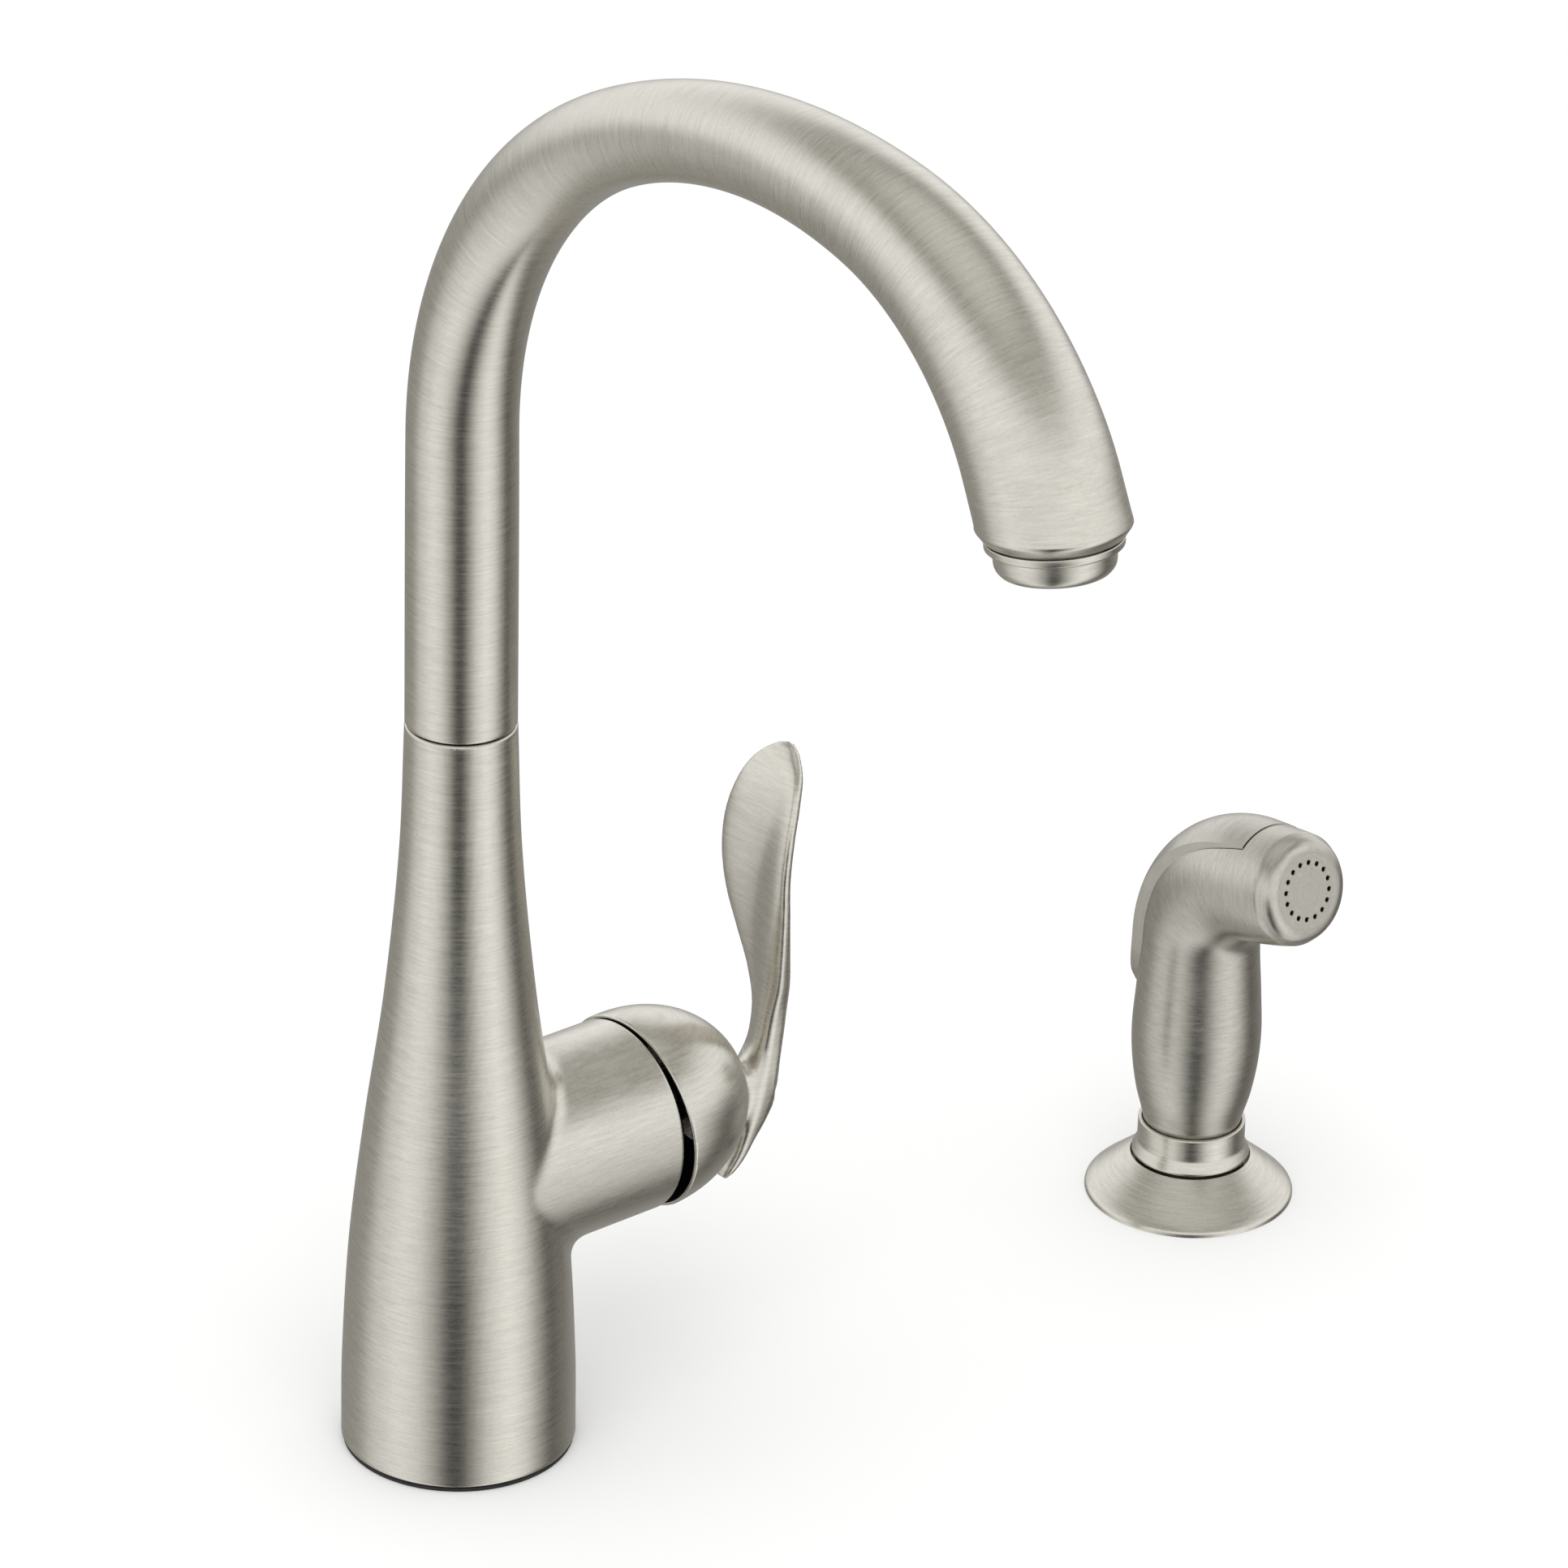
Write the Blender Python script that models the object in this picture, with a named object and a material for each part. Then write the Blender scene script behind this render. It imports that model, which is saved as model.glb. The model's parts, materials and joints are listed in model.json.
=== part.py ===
"""Single-lever kitchen faucet with a swivelling gooseneck spout and a side sprayer.

The origin is on the deck, at the centre of the faucet's base. +Z is up, the spout
reaches towards -Y (the user) and the lever's side arm points along +X.
Lengths below are in millimetres and are scaled to metres by MM.
"""

import math

import bmesh
import bpy
from mathutils import Matrix, Vector

MM = 0.001
GAP = 0.3  # clearance between touching pieces
X, Y, Z = Vector((1, 0, 0)), Vector((0, 1, 0)), Vector((0, 0, 1))

# Faucet body: outline as (height, radius), a flared column.
BODY_OUTLINE = (
    (1.2, 26.0), (20, 25.8), (50, 24.15), (80, 20.7), (110, 16.5), (145, 13.2), (175.3, 12.1),
)
BODY_WALL = 3.0
BODY_TOP = 175.3
NECK_BORE = 8.9
BASE_GASKET_HEIGHT = 0.9
SWIVEL_RING_RADIUS = 10.1

# Side arm and the handle that closes it.
ARM_Z = 65.3
ARM_RADIUS = 22.1
ARM_BORE = 18.2
ARM_END = 45.4
PIVOT_X = 40.0
VALVE_FACE = 14.0  # from the column's axis, along the arm
HANDLE_REST_TILT = 5.0  # degrees that the closed handle stands above the arm's axis
DOME_RADIUS = 22.8
DOME_LENGTH = 27.5
DOME_POWER = 2.1
DOME_OFFSET = 7.9  # from the pivot to the dome's rim, along the handle's axis
DOME_DROP = 0.8
DOME_WALL = 1.6

# Lever blade, in the handle's plane: (x, z, half width along Y, half thickness).
LEVER_SECTIONS = (
    (77.0, 40.5, 2.4, 1.1),
    (79.6, 45.0, 3.6, 1.6),
    (82.0, 50.5, 4.6, 2.2),
    (83.8, 57.0, 5.2, 2.8),
    (85.0, 64.0, 5.0, 3.4),
    (86.2, 71.0, 4.7, 3.4),
    (87.1, 79.0, 5.2, 3.1),
    (86.7, 87.0, 7.0, 2.8),
    (85.2, 96.0, 9.0, 2.5),
    (83.6, 106.0, 10.8, 2.2),
    (82.8, 116.0, 11.4, 2.0),
    (83.6, 125.5, 11.3, 1.9),
    (86.0, 133.5, 9.9, 1.8),
    (89.0, 139.5, 7.0, 1.6),
    (91.0, 142.4, 3.2, 1.2),
)
# Stalk between dome and blade: (x, z, half width along Y, half height).
STALK_SECTIONS = ((71.6, 64.5, 6.6, 9.3), (76, 64.0, 5.6, 9.0), (81, 62.5, 4.8, 9.5), (85, 62.0, 4.2, 9.5))

# Spout: a straight riser, then three tangent bends, as (radius, degrees).
SEAM_Z = 175.7
BEND_START_Z = 242.3
BENDS = ((91.5, 64.0), (123.1, 38.6), (69.4, 52.6))
TIP_LENGTH = 7.4
SPOUT_RADII = (
    (-67, 12.05), (0, 11.85), (60, 11.05), (105, 10.15), (140, 10.55), (175, 11.65), (215, 13.5), (257, 15.0),
)
SPOUT_WALL = 1.5
OUTLET_TILT = 7.0  # degrees that the outlet leans away from straight down
OUTLET_RADIUS = 15.2
OUTLET_BORE = 12.4
OUTLET_LIP = 2.6
OUTLET_CHAMFER = 1.5

# Below the deck.
DECK = 30.0
SHANK_RADIUS = 15.8
SHANK_BORE = 13.5
SHANK_LENGTH = 62.0
TUBE_RADIUS = 4.0
TUBE_CIRCLE = 6.8
TUBE_LENGTH = 95.0

# Side sprayer, on its own hole in the deck.
SPRAY_X, SPRAY_Y = 203.8, -16.9
ESCUTCHEON_RADIUS = 24.85
COLLAR_TOP = 19.1
COLLAR_BORE = 11.65
GUIDE_BORE = 8.6
GRIP_RADII = (
    (10, 11.1), (19, 11.5), (27, 13.5), (35, 14.75), (43, 15.15), (53, 14.6), (66.8, 13.6), (96, 13.6),
    (115.5, 12.9),
)
HEAD_BEND_Z = 66.8
HEAD_BEND_RADIUS = 22.0
HEAD_BEND = 76.0  # degrees from the upright grip to the nozzle
NOZZLE_LENGTH = 19.5
FACE_RADIUS = 10.6
HOLE_COUNT = 16
HOLE_CIRCLE = 6.6
HOLE_RADIUS = 0.55
TRIGGER_START = 51.0  # length along the grip where the thumb lever starts
TRIGGER_END = 103.0
TRIGGER_WALL = 2.2
TRIGGER_ROOM = 4.4
TRIGGER_PRESS = 3.0  # degrees that the thumb lever swings in
PRESS_STEPS = 3
TRIGGER_WIDTHS = ((51, 5.0), (56, 8.0), (66, 9.4), (85, 9.4), (103, 7.6))
PIN_STATION = 97.0
PIN_DEPTH = 4.2
PIN_RADIUS = 1.1
PIN_HOLE = 1.35
PLUNGER_RADIUS = 1.3

SIDES = 18
FINE_SIDES = 30


def clear_scene():
    for old in list(bpy.data.objects):
        bpy.data.objects.remove(old, do_unlink=True)


def make_material(name, colour, metallic, roughness):
    material = bpy.data.materials.new(name)
    material.use_nodes = True
    shader = material.node_tree.nodes["Principled BSDF"]
    shader.inputs["Base Color"].default_value = (*colour, 1)
    shader.inputs["Metallic"].default_value = metallic
    shader.inputs["Roughness"].default_value = roughness
    material.diffuse_color = (*colour, 1)
    return material


def smooth_value(points, at):
    """The height of a smooth curve through (position, value) points, flat past its ends."""
    if at <= points[0][0]:
        return points[0][1]
    if at >= points[-1][0]:
        return points[-1][1]
    index = max(i for i, point in enumerate(points[:-1]) if point[0] <= at)
    (x0, y0), (x1, y1) = points[index], points[index + 1]

    def slope(i):
        before, after = points[max(i - 1, 0)], points[min(i + 1, len(points) - 1)]
        return (after[1] - before[1]) / (after[0] - before[0])

    span = x1 - x0
    t = (at - x0) / span
    rise = 3 * t * t - 2 * t * t * t
    return (
        y0 + (y1 - y0) * rise
        + slope(index) * span * (t - 2 * t * t + t * t * t)
        + slope(index + 1) * span * (t * t * t - t * t)
    )


def steps(start, stop, count):
    return [start + (stop - start) * i / count for i in range(count + 1)]


def new_object(name, mesh, material):
    mesh.materials.append(material)
    piece = bpy.data.objects.new(name, mesh)
    bpy.context.collection.objects.link(piece)
    return piece


def finish_mesh(name, bm, material):
    bmesh.ops.recalc_face_normals(bm, faces=bm.faces[:])
    bm.transform(Matrix.Scale(MM, 4))
    mesh = bpy.data.meshes.new(name)
    bm.to_mesh(mesh)
    bm.free()
    mesh.shade_smooth()
    mesh.set_sharp_from_angle(angle=math.radians(35))
    return new_object(name, mesh, material)


def frame_at(origin, axis):
    """A frame with its Z along axis, and its X as level as can be."""
    turn = Vector(axis).normalized().to_track_quat("Z", "Y").to_matrix().to_4x4()
    return Matrix.Translation(Vector(origin)) @ turn


def add_rings(bm, rings, wrap):
    """Faces between successive rings, where a ring of one point is a pole."""
    rows = [[bm.verts.new(point) for point in points] for points in rings]
    pairs = list(zip(rows, rows[1:]))
    if wrap:
        pairs.append((rows[-1], rows[0]))
    for low, high in pairs:
        count = max(len(low), len(high))
        for i in range(count):
            j = (i + 1) % count
            corners = [low[i % len(low)], low[j % len(low)], high[j % len(high)], high[i % len(high)]]
            unique = list(dict.fromkeys(corners))
            if len(unique) > 2:
                bm.faces.new(unique)
    return rows


def turned(name, profile, material, origin=(0, 0, 0), axis=Z, sides=SIDES):
    """A solid of revolution. profile is (radius, height) points around the section."""
    frame = frame_at(origin, axis)
    around = [(math.cos(math.tau * i / sides), math.sin(math.tau * i / sides)) for i in range(sides)]
    rings = []
    for radius, height in profile:
        points = [(0, 0)] if radius < 1e-6 else around
        rings.append([frame @ Vector((radius * c, radius * s, height)) for c, s in points])
    bm = bmesh.new()
    add_rings(bm, rings, wrap=len(rings[0]) > 1)
    return finish_mesh(name, bm, material)


def tube_profile(inner, outer, low, high):
    return [(outer, low), (outer, high), (inner, high), (inner, low)]


def rod_profile(radius, low, high):
    return [(0, low), (radius, low), (radius, high), (0, high)]


def lofted(name, rings, material, wrap=False):
    """A skin over rings of equal count, capped at both ends unless it wraps."""
    bm = bmesh.new()
    rows = add_rings(bm, rings, wrap)
    if not wrap:
        bm.faces.new(rows[0])
        bm.faces.new(rows[-1])
    return finish_mesh(name, bm, material)


def ring(centre, normal, radius, sides):
    """Points around a circle whose normal lies in the YZ plane."""
    across = Vector(normal).cross(X).normalized()
    angles = [math.tau * i / sides for i in range(sides)]
    return [Vector(centre) + radius * (math.cos(a) * X + math.sin(a) * across) for a in angles]


def combine(piece, tool, operation):
    modifier = piece.modifiers.new(f"{operation.lower()}_{tool.name}", "BOOLEAN")
    modifier.operation = operation
    modifier.solver = "EXACT"
    modifier.object = tool
    tool.hide_render = True
    tool.display_type = "WIRE"
    return piece


def cut(piece, *tools):
    for tool in tools:
        combine(piece, tool, "DIFFERENCE")
    return piece


def join(piece, *tools):
    for tool in tools:
        combine(piece, tool, "UNION")
    return piece


def drills(name, radius, low, high, origins, axis, material, sides=12):
    """Parallel round cutters as one object, each clear of the others."""
    bm = bmesh.new()
    for origin in origins:
        place = frame_at(origin, axis) @ Matrix.Translation((0, 0, (low + high) / 2))
        bmesh.ops.create_cone(
            bm, cap_ends=True, segments=sides, radius1=radius, radius2=radius, depth=high - low, matrix=place,
        )
    return finish_mesh(name, bm, material)


def port_offsets():
    """Across and up from the middle, for each of the three waterways."""
    angles = [math.radians(a) for a in (0, 120, 240)]
    return [(TUBE_CIRCLE * math.cos(a), TUBE_CIRCLE * math.sin(a)) for a in angles]


def box(name, low, high, material):
    size = Vector(high) - Vector(low)
    middle = (Vector(high) + Vector(low)) / 2
    bm = bmesh.new()
    bmesh.ops.create_cube(bm, size=1, matrix=Matrix.Translation(middle) @ Matrix.Diagonal((*size, 1)))
    return finish_mesh(name, bm, material)


def hang_on(name, origin, pieces, parent=None):
    """An empty on a joint's axis, with the pieces that move about it."""
    empty = bpy.data.objects.new(name, None)
    bpy.context.collection.objects.link(empty)
    empty.empty_display_size = 10 * MM
    empty.location = Vector(origin) * MM
    bpy.context.view_layer.update()
    if parent:
        empty.parent = parent
        empty.matrix_parent_inverse = parent.matrix_world.inverted()
        bpy.context.view_layer.update()
    for piece in pieces:
        piece.parent = empty
        piece.matrix_parent_inverse = empty.matrix_world.inverted()
    return empty


# Faucet body


def body_shell(nickel):
    heights = [1.2] + steps(15, 165, 9) + [BODY_TOP]
    outer = [(smooth_value(BODY_OUTLINE, z), z) for z in heights]
    column = turned("body_shell", [(0, 1.2)] + outer + [(0, BODY_TOP)], nickel, sides=FINE_SIDES)
    arm = turned("arm_blank", rod_profile(ARM_RADIUS, 0, ARM_END), nickel, (0, 0, ARM_Z), X, FINE_SIDES)
    inside = [(max(smooth_value(BODY_OUTLINE, z) - BODY_WALL, NECK_BORE), z) for z in steps(-1, 149, 6)]
    neck = [(NECK_BORE, 149), (NECK_BORE, 180), (0, 180)]
    hollow = turned("body_hollow", [(0, -1)] + inside + neck, nickel)
    bore = turned("arm_bore", rod_profile(ARM_BORE, 4, ARM_END + 5), nickel, (0, 0, ARM_Z), X)
    recess = turned("ring_recess", rod_profile(10.9, 171, 180), nickel)
    join(column, arm)
    return cut(column, hollow, bore, recess)


def base_parts(rubber, brass, steel, plastic):
    gasket = turned("base_gasket", tube_profile(17, 25.6, 0, BASE_GASKET_HEIGHT), rubber, sides=FINE_SIDES)
    outside = [(SHANK_RADIUS, -SHANK_LENGTH), (SHANK_RADIUS, 2), (22, 2), (22, 7)]
    shank = turned("mounting_shank", outside + [(SHANK_BORE, 7), (SHANK_BORE, -SHANK_LENGTH)], brass)
    washer_top = -DECK - GAP
    washer = turned("deck_washer", tube_profile(16.4, 26, washer_top - 2, washer_top), rubber)
    plate_top = washer_top - 2 - GAP
    plate = turned("clamp_washer", tube_profile(16.4, 25, plate_top - 1.5, plate_top), steel)
    nut_top = plate_top - 1.5 - GAP
    nut = turned("mounting_nut", rod_profile(25.5, nut_top - 10, nut_top), plastic, sides=6)
    cut(nut, turned("nut_hole", rod_profile(16.2, nut_top - 11, nut_top + 1), plastic))
    return [gasket, shank, washer, plate, nut]


def valve_block(brass):
    block = turned("valve_block", rod_profile(15.2, -10.5, VALVE_FACE), brass, (0, 0, ARM_Z), X)
    feet = [(x, y, 0) for y, x in port_offsets()]
    outlets = [(0, y, ARM_Z - 5.2) for y, _ in port_offsets()[:2]]
    tools = [
        drills("tube_sockets", TUBE_RADIUS + GAP, 40, 56, feet, Z, brass, 16),
        drills("port_rises", 2.3, 50, ARM_Z - 3, feet, Z, brass, 10),
        drills("port_outlets", 2.3, -8, 20, outlets, X, brass, 10),
        turned("hub_socket", rod_profile(7.8, 74, 95), brass),
        turned("mixed_port", rod_profile(3.4, ARM_Z + 1, 80), brass, sides=12),
        turned("mixed_out", rod_profile(2.0, -3, 20), brass, (0, 0, ARM_Z + 4), X, 10),
    ]
    return cut(block, *tools)


def supply_tubes(copper):
    pieces = []
    names = ("hot_supply_tube", "cold_supply_tube", "spray_outlet_tube")
    for name, (y, x) in zip(names, port_offsets()):
        profile = tube_profile(2.9, TUBE_RADIUS, -TUBE_LENGTH, 55)
        pieces.append(turned(name, profile, copper, (x, y, 0), sides=16))
    return pieces


def waterway_hub(brass):
    radius, bore, foot, top = 7.5, 5.2, 74.5, 207
    outside = [(radius, foot), (radius, 170), (8.5, 170), (8.5, 170.6), (radius, 170.6)]
    for groove, low, high in ((6.7, 181, 183.6), (6.7, 191, 193.6), (6.6, 201, 203)):
        outside += [(radius, low), (groove, low), (groove, high), (radius, high)]
    return turned("waterway_hub", outside + [(radius, top), (bore, top), (bore, foot)], brass)


def swivel_parts(plastic, rubber, steel):
    bearing = turned("swivel_ring", tube_profile(7.8, SWIVEL_RING_RADIUS, 171.3, 175.9), plastic)
    rings = []
    for name, low in (("lower_spout_seal", 181.2), ("upper_spout_seal", 191.2)):
        high = low + 2.2
        profile = [(7.0, low), (7.7, low), (7.9, (low + high) / 2), (7.7, high), (7.0, high)]
        rings.append(turned(name, profile, rubber))
    clip = turned("retaining_ring", tube_profile(6.9, 9.4, 201.3, 202.7), steel)
    return [bearing, *rings, clip]


def diverter_parts(plastic):
    body = turned(
        "diverter_body",
        [(4.9, 84), (4.9, 100), (3.4, 100), (3.4, 97), (2.6, 97), (2.6, 87), (3.4, 87), (3.4, 84)],
        plastic, sides=16,
    )
    poppet = turned(
        "diverter_poppet",
        [(0, 86.5), (1.6, 86.5), (1.6, 97.4), (3.1, 97.4), (3.1, 99), (0, 99)],
        plastic, sides=12,
    )
    return body, poppet


# Cartridge and handle


def cartridge_parts(rubber, ceramic, plastic, brass):
    seal = turned("cartridge_seal", rod_profile(13.5, 14.3, 15.6), rubber, (0, 0, ARM_Z), X)
    disc = turned("fixed_disc", rod_profile(13, 15.9, 19.3), ceramic, (0, 0, ARM_Z), X)
    ports = drills("disc_ports", 2.3, 13, 21, [(0, y, ARM_Z + z) for y, z in port_offsets()], X, brass, 10)
    for piece in (seal, disc):
        cut(piece, ports)
    sleeve = turned("cartridge_sleeve", tube_profile(13.8, 17.6, 15.9, 36), plastic, (0, 0, ARM_Z), X)
    nut = turned(
        "bonnet_nut",
        [(14.0, 36.4), (17.8, 36.4), (17.8, 45.8), (18.8, 45.8), (18.4, 48), (15.5, 49.5), (14.0, 49.5)],
        plastic, (0, 0, ARM_Z), X, FINE_SIDES,
    )
    return [seal, disc, sleeve, nut]


def carrier_parts(plastic, steel):
    carrier = turned("stem_carrier", rod_profile(13.4, 25.2, 44), plastic, (0, 0, ARM_Z), X)
    slot = box("carrier_slot", (20, -3.5, ARM_Z - 9), (50, 3.5, ARM_Z + 9), plastic)
    hole = turned("carrier_pin_hole", rod_profile(1.9, -14, 14), plastic, (PIVOT_X, 0, ARM_Z), Y, 12)
    pin = turned("stem_pin", rod_profile(1.6, -12, 12), steel, (PIVOT_X, 0, ARM_Z), Y, 12)
    return cut(carrier, slot, hole), pin


def moving_disc(ceramic):
    disc = turned("moving_disc", rod_profile(9.6, 19.6, 24.8), ceramic, (0, 0, ARM_Z), X)
    half_width, half_height = 2.6, 3.9
    low, high = (22, -half_width, ARM_Z - half_height), (26, half_width, ARM_Z + half_height)
    return cut(disc, box("disc_socket", low, high, ceramic))


def handle_frame():
    """The handle's frame: its origin on the tilt axis and its X out through the dome."""
    return Matrix.Translation((PIVOT_X, 0, ARM_Z)) @ Matrix.Rotation(math.radians(-HANDLE_REST_TILT), 4, "Y")


def dome_profile():
    """The dome's section about its own axis, with the boss that holds the stem."""
    def quarter(radius, length, low, high, count):
        points = []
        for f in steps(low, high, count):
            s, c = math.sin(f * math.pi / 2), math.cos(f * math.pi / 2)
            points.append((radius * c ** (2 / DOME_POWER), length * s ** (2 / DOME_POWER)))
        return points

    outer = quarter(DOME_RADIUS, DOME_LENGTH, 0, 1, 10)
    inner = quarter(DOME_RADIUS - DOME_WALL, DOME_LENGTH - 2.4, 0.8, 0, 6)
    outer[-1] = (0, DOME_LENGTH)
    boss = [(0, 21), (4.4, 21), (4.4, 8), (7, 8)]
    return outer + boss + [(7, inner[0][1])] + inner[1:-1] + [(DOME_RADIUS - DOME_WALL, 0)]


def lever_blade(nickel):
    """A leaf-shaped blade: half width and half thickness follow the section list."""
    sections = [Vector((x, 0, z)) for x, z, _, _ in LEVER_SECTIONS]
    rings = []
    for index, (x, z, width, thickness) in enumerate(LEVER_SECTIONS):
        before, after = sections[max(index - 1, 0)], sections[min(index + 1, len(sections) - 1)]
        along = (after - before).normalized()
        out = along.cross(Y)
        ring_here = []
        for i in range(12):
            a = math.tau * i / 12
            ring_here.append(sections[index] + width * math.cos(a) * Y + thickness * math.sin(a) * out)
        rings.append(ring_here)
    return lofted("lever_blade_blank", rings, nickel)


def lever_stalk(nickel):
    angles = [math.tau * i / 12 for i in range(12)]
    rings = []
    for x, z, width, height in STALK_SECTIONS:
        rings.append([Vector((x, width * math.cos(a), z + height * math.sin(a))) for a in angles])
    return lofted("lever_stalk_blank", rings, nickel)


def handle_parts(nickel, steel, brass):
    frame = handle_frame()
    centre = frame @ Vector((DOME_OFFSET, 0, -DOME_DROP))
    outward = frame.to_3x3() @ X
    handle = turned("lever_handle", dome_profile(), nickel, centre, outward, FINE_SIDES)
    join(handle, lever_stalk(nickel), lever_blade(nickel))
    down = frame.to_3x3() @ -Z
    screw_foot = frame @ Vector((DOME_OFFSET + 12, 0, 0))
    cut(handle, turned("screw_hole", rod_profile(2.2, 1, 30), nickel, screw_foot, down, 12))
    screw = turned("handle_screw", rod_profile(1.9, 3.6, 14), steel, screw_foot, down, 12)
    ball_end = [(0, -17.2), (1.9, -17.2), (2.2, -13), (3.0, -11)]
    outline = ball_end + [(3.0, 10), (3.3, 10), (3.3, 27), (0, 27)]
    stem = turned("stem", outline, brass, (PIVOT_X, 0, ARM_Z), outward, 16)
    cut(stem, turned("stem_pin_hole", rod_profile(1.9, -14, 14), brass, (PIVOT_X, 0, ARM_Z), Y, 12))
    return handle, screw, stem


# Spout


def spout_centreline():
    """Stations along the spout as (length past the bend's start, centre, direction)."""
    stations = [(-66.3, Vector((0, 0, SEAM_Z)), 0.0), (-30.0, Vector((0, 0, BEND_START_Z - 30)), 0.0)]
    point, turn, length = Vector((0, 0, BEND_START_Z)), 0.0, 0.0
    stations.append((length, point.copy(), turn))
    for radius, degrees in BENDS:
        count = round(degrees / 9)
        step = math.radians(degrees) / count
        for _ in range(count):
            chord = 2 * radius * math.sin(step / 2)
            middle = turn + step / 2
            point = point + chord * Vector((0, -math.sin(middle), math.cos(middle)))
            turn += step
            length += radius * step
            stations.append((length, point.copy(), turn))
    point = point + TIP_LENGTH * Vector((0, -math.sin(turn), math.cos(turn)))
    stations.append((length + TIP_LENGTH, point, math.pi - math.radians(OUTLET_TILT)))
    return stations


def direction(turn):
    return Vector((0, -math.sin(turn), math.cos(turn)))


def outlet_frame():
    _, point, turn = spout_centreline()[-1]
    return point, direction(turn)


def spout_tube(nickel):
    stations = spout_centreline()
    centre, axis = outlet_frame()
    end = centre + OUTLET_LIP * axis
    outside = [ring(p, direction(t), smooth_value(SPOUT_RADII, s), SIDES) for s, p, t in stations[:-1]]
    outside.append(ring(centre, axis, OUTLET_RADIUS, SIDES))
    outside.append(ring(end, axis, OUTLET_RADIUS - OUTLET_CHAMFER, SIDES))
    inside = [ring(end, axis, OUTLET_BORE, SIDES), ring(centre - 9 * axis, axis, OUTLET_BORE, SIDES)]
    for s, p, t in reversed(stations[:-3]):
        inside.append(ring(p, direction(t), smooth_value(SPOUT_RADII, s) - SPOUT_WALL, SIDES))
    return lofted("spout_tube", outside + inside, nickel, wrap=True)


def spout_fittings(brass, nickel, plastic, rubber):
    centre, axis = outlet_frame()
    socket = turned("spout_socket", tube_profile(8.1, 10.1, 176.4, 200.7), brass)
    housing = turned(
        "aerator_housing",
        [
            (12.1, -6.8), (12.1, 2.9), (13.5, 2.9), (13.5, 4.4), (11.9, 4.9), (11.9, 7.6), (11.2, 9.2),
            (10.4, 9.6), (9.8, 9.0), (9.8, -6.8),
        ],
        nickel, centre, axis, FINE_SIDES,
    )
    insert = turned("aerator_insert", rod_profile(9.5, -5.5, 7.8), plastic, centre, axis)
    gasket = turned("aerator_gasket", tube_profile(8, 11.9, -8.6, -7.1), rubber, centre, axis)
    return socket, housing, insert, gasket


# Side sprayer


def spray_origin(z=0.0):
    return Vector((SPRAY_X, SPRAY_Y, z))


def spray_seat(nickel, rubber, plastic):
    escutcheon = turned(
        "spray_escutcheon",
        [
            (ESCUTCHEON_RADIUS, 0), (ESCUTCHEON_RADIUS, 1.7), (24.1, 2.8), (14.1, 9.9), (14.1, 1.4),
            (22.9, 1.4), (22.9, 0),
        ],
        nickel, spray_origin(), Z, FINE_SIDES,
    )
    gasket = turned("spray_gasket", tube_profile(14.3, 22.5, 0, 1.1), rubber, spray_origin())
    guide = turned(
        "hose_guide",
        [
            (13.7, 10.2), (13.9, 10.7), (12.6, 13.6), (12.6, 18.6), (12.2, COLLAR_TOP), (COLLAR_BORE, 18.8),
            (COLLAR_BORE, 9.4), (GUIDE_BORE, 9.4), (GUIDE_BORE, -44), (12.8, -44), (12.8, 10.2),
        ],
        nickel, spray_origin(), Z, FINE_SIDES,
    )
    nut = turned("spray_nut", rod_profile(19, -DECK - 9, -DECK - GAP), plastic, spray_origin(), sides=6)
    cut(nut, turned("spray_nut_hole", rod_profile(13.2, -DECK - 10, -DECK + 1), plastic, spray_origin()))
    return [escutcheon, gasket, guide, nut]


def head_station(length):
    """Centre and direction along the grip and head, by length from the deck."""
    bend = HEAD_BEND_RADIUS * math.radians(HEAD_BEND)
    turn = min(max(length - HEAD_BEND_Z, 0) / HEAD_BEND_RADIUS, math.radians(HEAD_BEND))
    centre = Vector((0, -HEAD_BEND_RADIUS * (1 - math.cos(turn)), HEAD_BEND_RADIUS * math.sin(turn)))
    centre += direction(turn) * max(length - HEAD_BEND_Z - bend, 0)
    return spray_origin(min(length, HEAD_BEND_Z)) + centre, turn


def head_length():
    return HEAD_BEND_Z + HEAD_BEND_RADIUS * math.radians(HEAD_BEND) + NOZZLE_LENGTH


def nozzle_frame():
    """The nozzle's base on its axis, and the way that it points."""
    base, turn = head_station(head_length() - NOZZLE_LENGTH)
    return base, direction(turn)


def strip(name, lengths, low, high, spare, material, place=Matrix()):
    """A strip along the back of the head. low and high are depths from its centreline, across x."""
    rings = []
    for length in lengths:
        centre, turn = head_station(length)
        out = Vector((0, math.cos(turn), math.sin(turn)))
        radius = smooth_value(GRIP_RADII, length)
        half = smooth_value(TRIGGER_WIDTHS, length) + spare
        across = [half * x for x in (-1, -0.6, 0, 0.6, 1)]
        top = [centre + x * X + high(radius, x) * out for x in across]
        bottom = [centre + x * X + low(radius, x) * out for x in reversed(across)]
        rings.append([place @ point for point in top + bottom])
    return lofted(name, rings, material)


def under_trigger(radius, x):
    return math.sqrt(max((radius - TRIGGER_WALL) ** 2 - x * x, 1))


def trigger_top(radius, x):
    return math.sqrt(radius * radius - x * x)


def trigger_lengths(spare):
    return [TRIGGER_START - spare] + [55, 61, 67, 73, 79, 85, 91, 97] + [TRIGGER_END + spare]


def pin_place():
    centre, turn = head_station(PIN_STATION)
    radius = smooth_value(GRIP_RADII, PIN_STATION)
    return centre + (radius - PIN_DEPTH) * Vector((0, math.cos(turn), math.sin(turn)))


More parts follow.
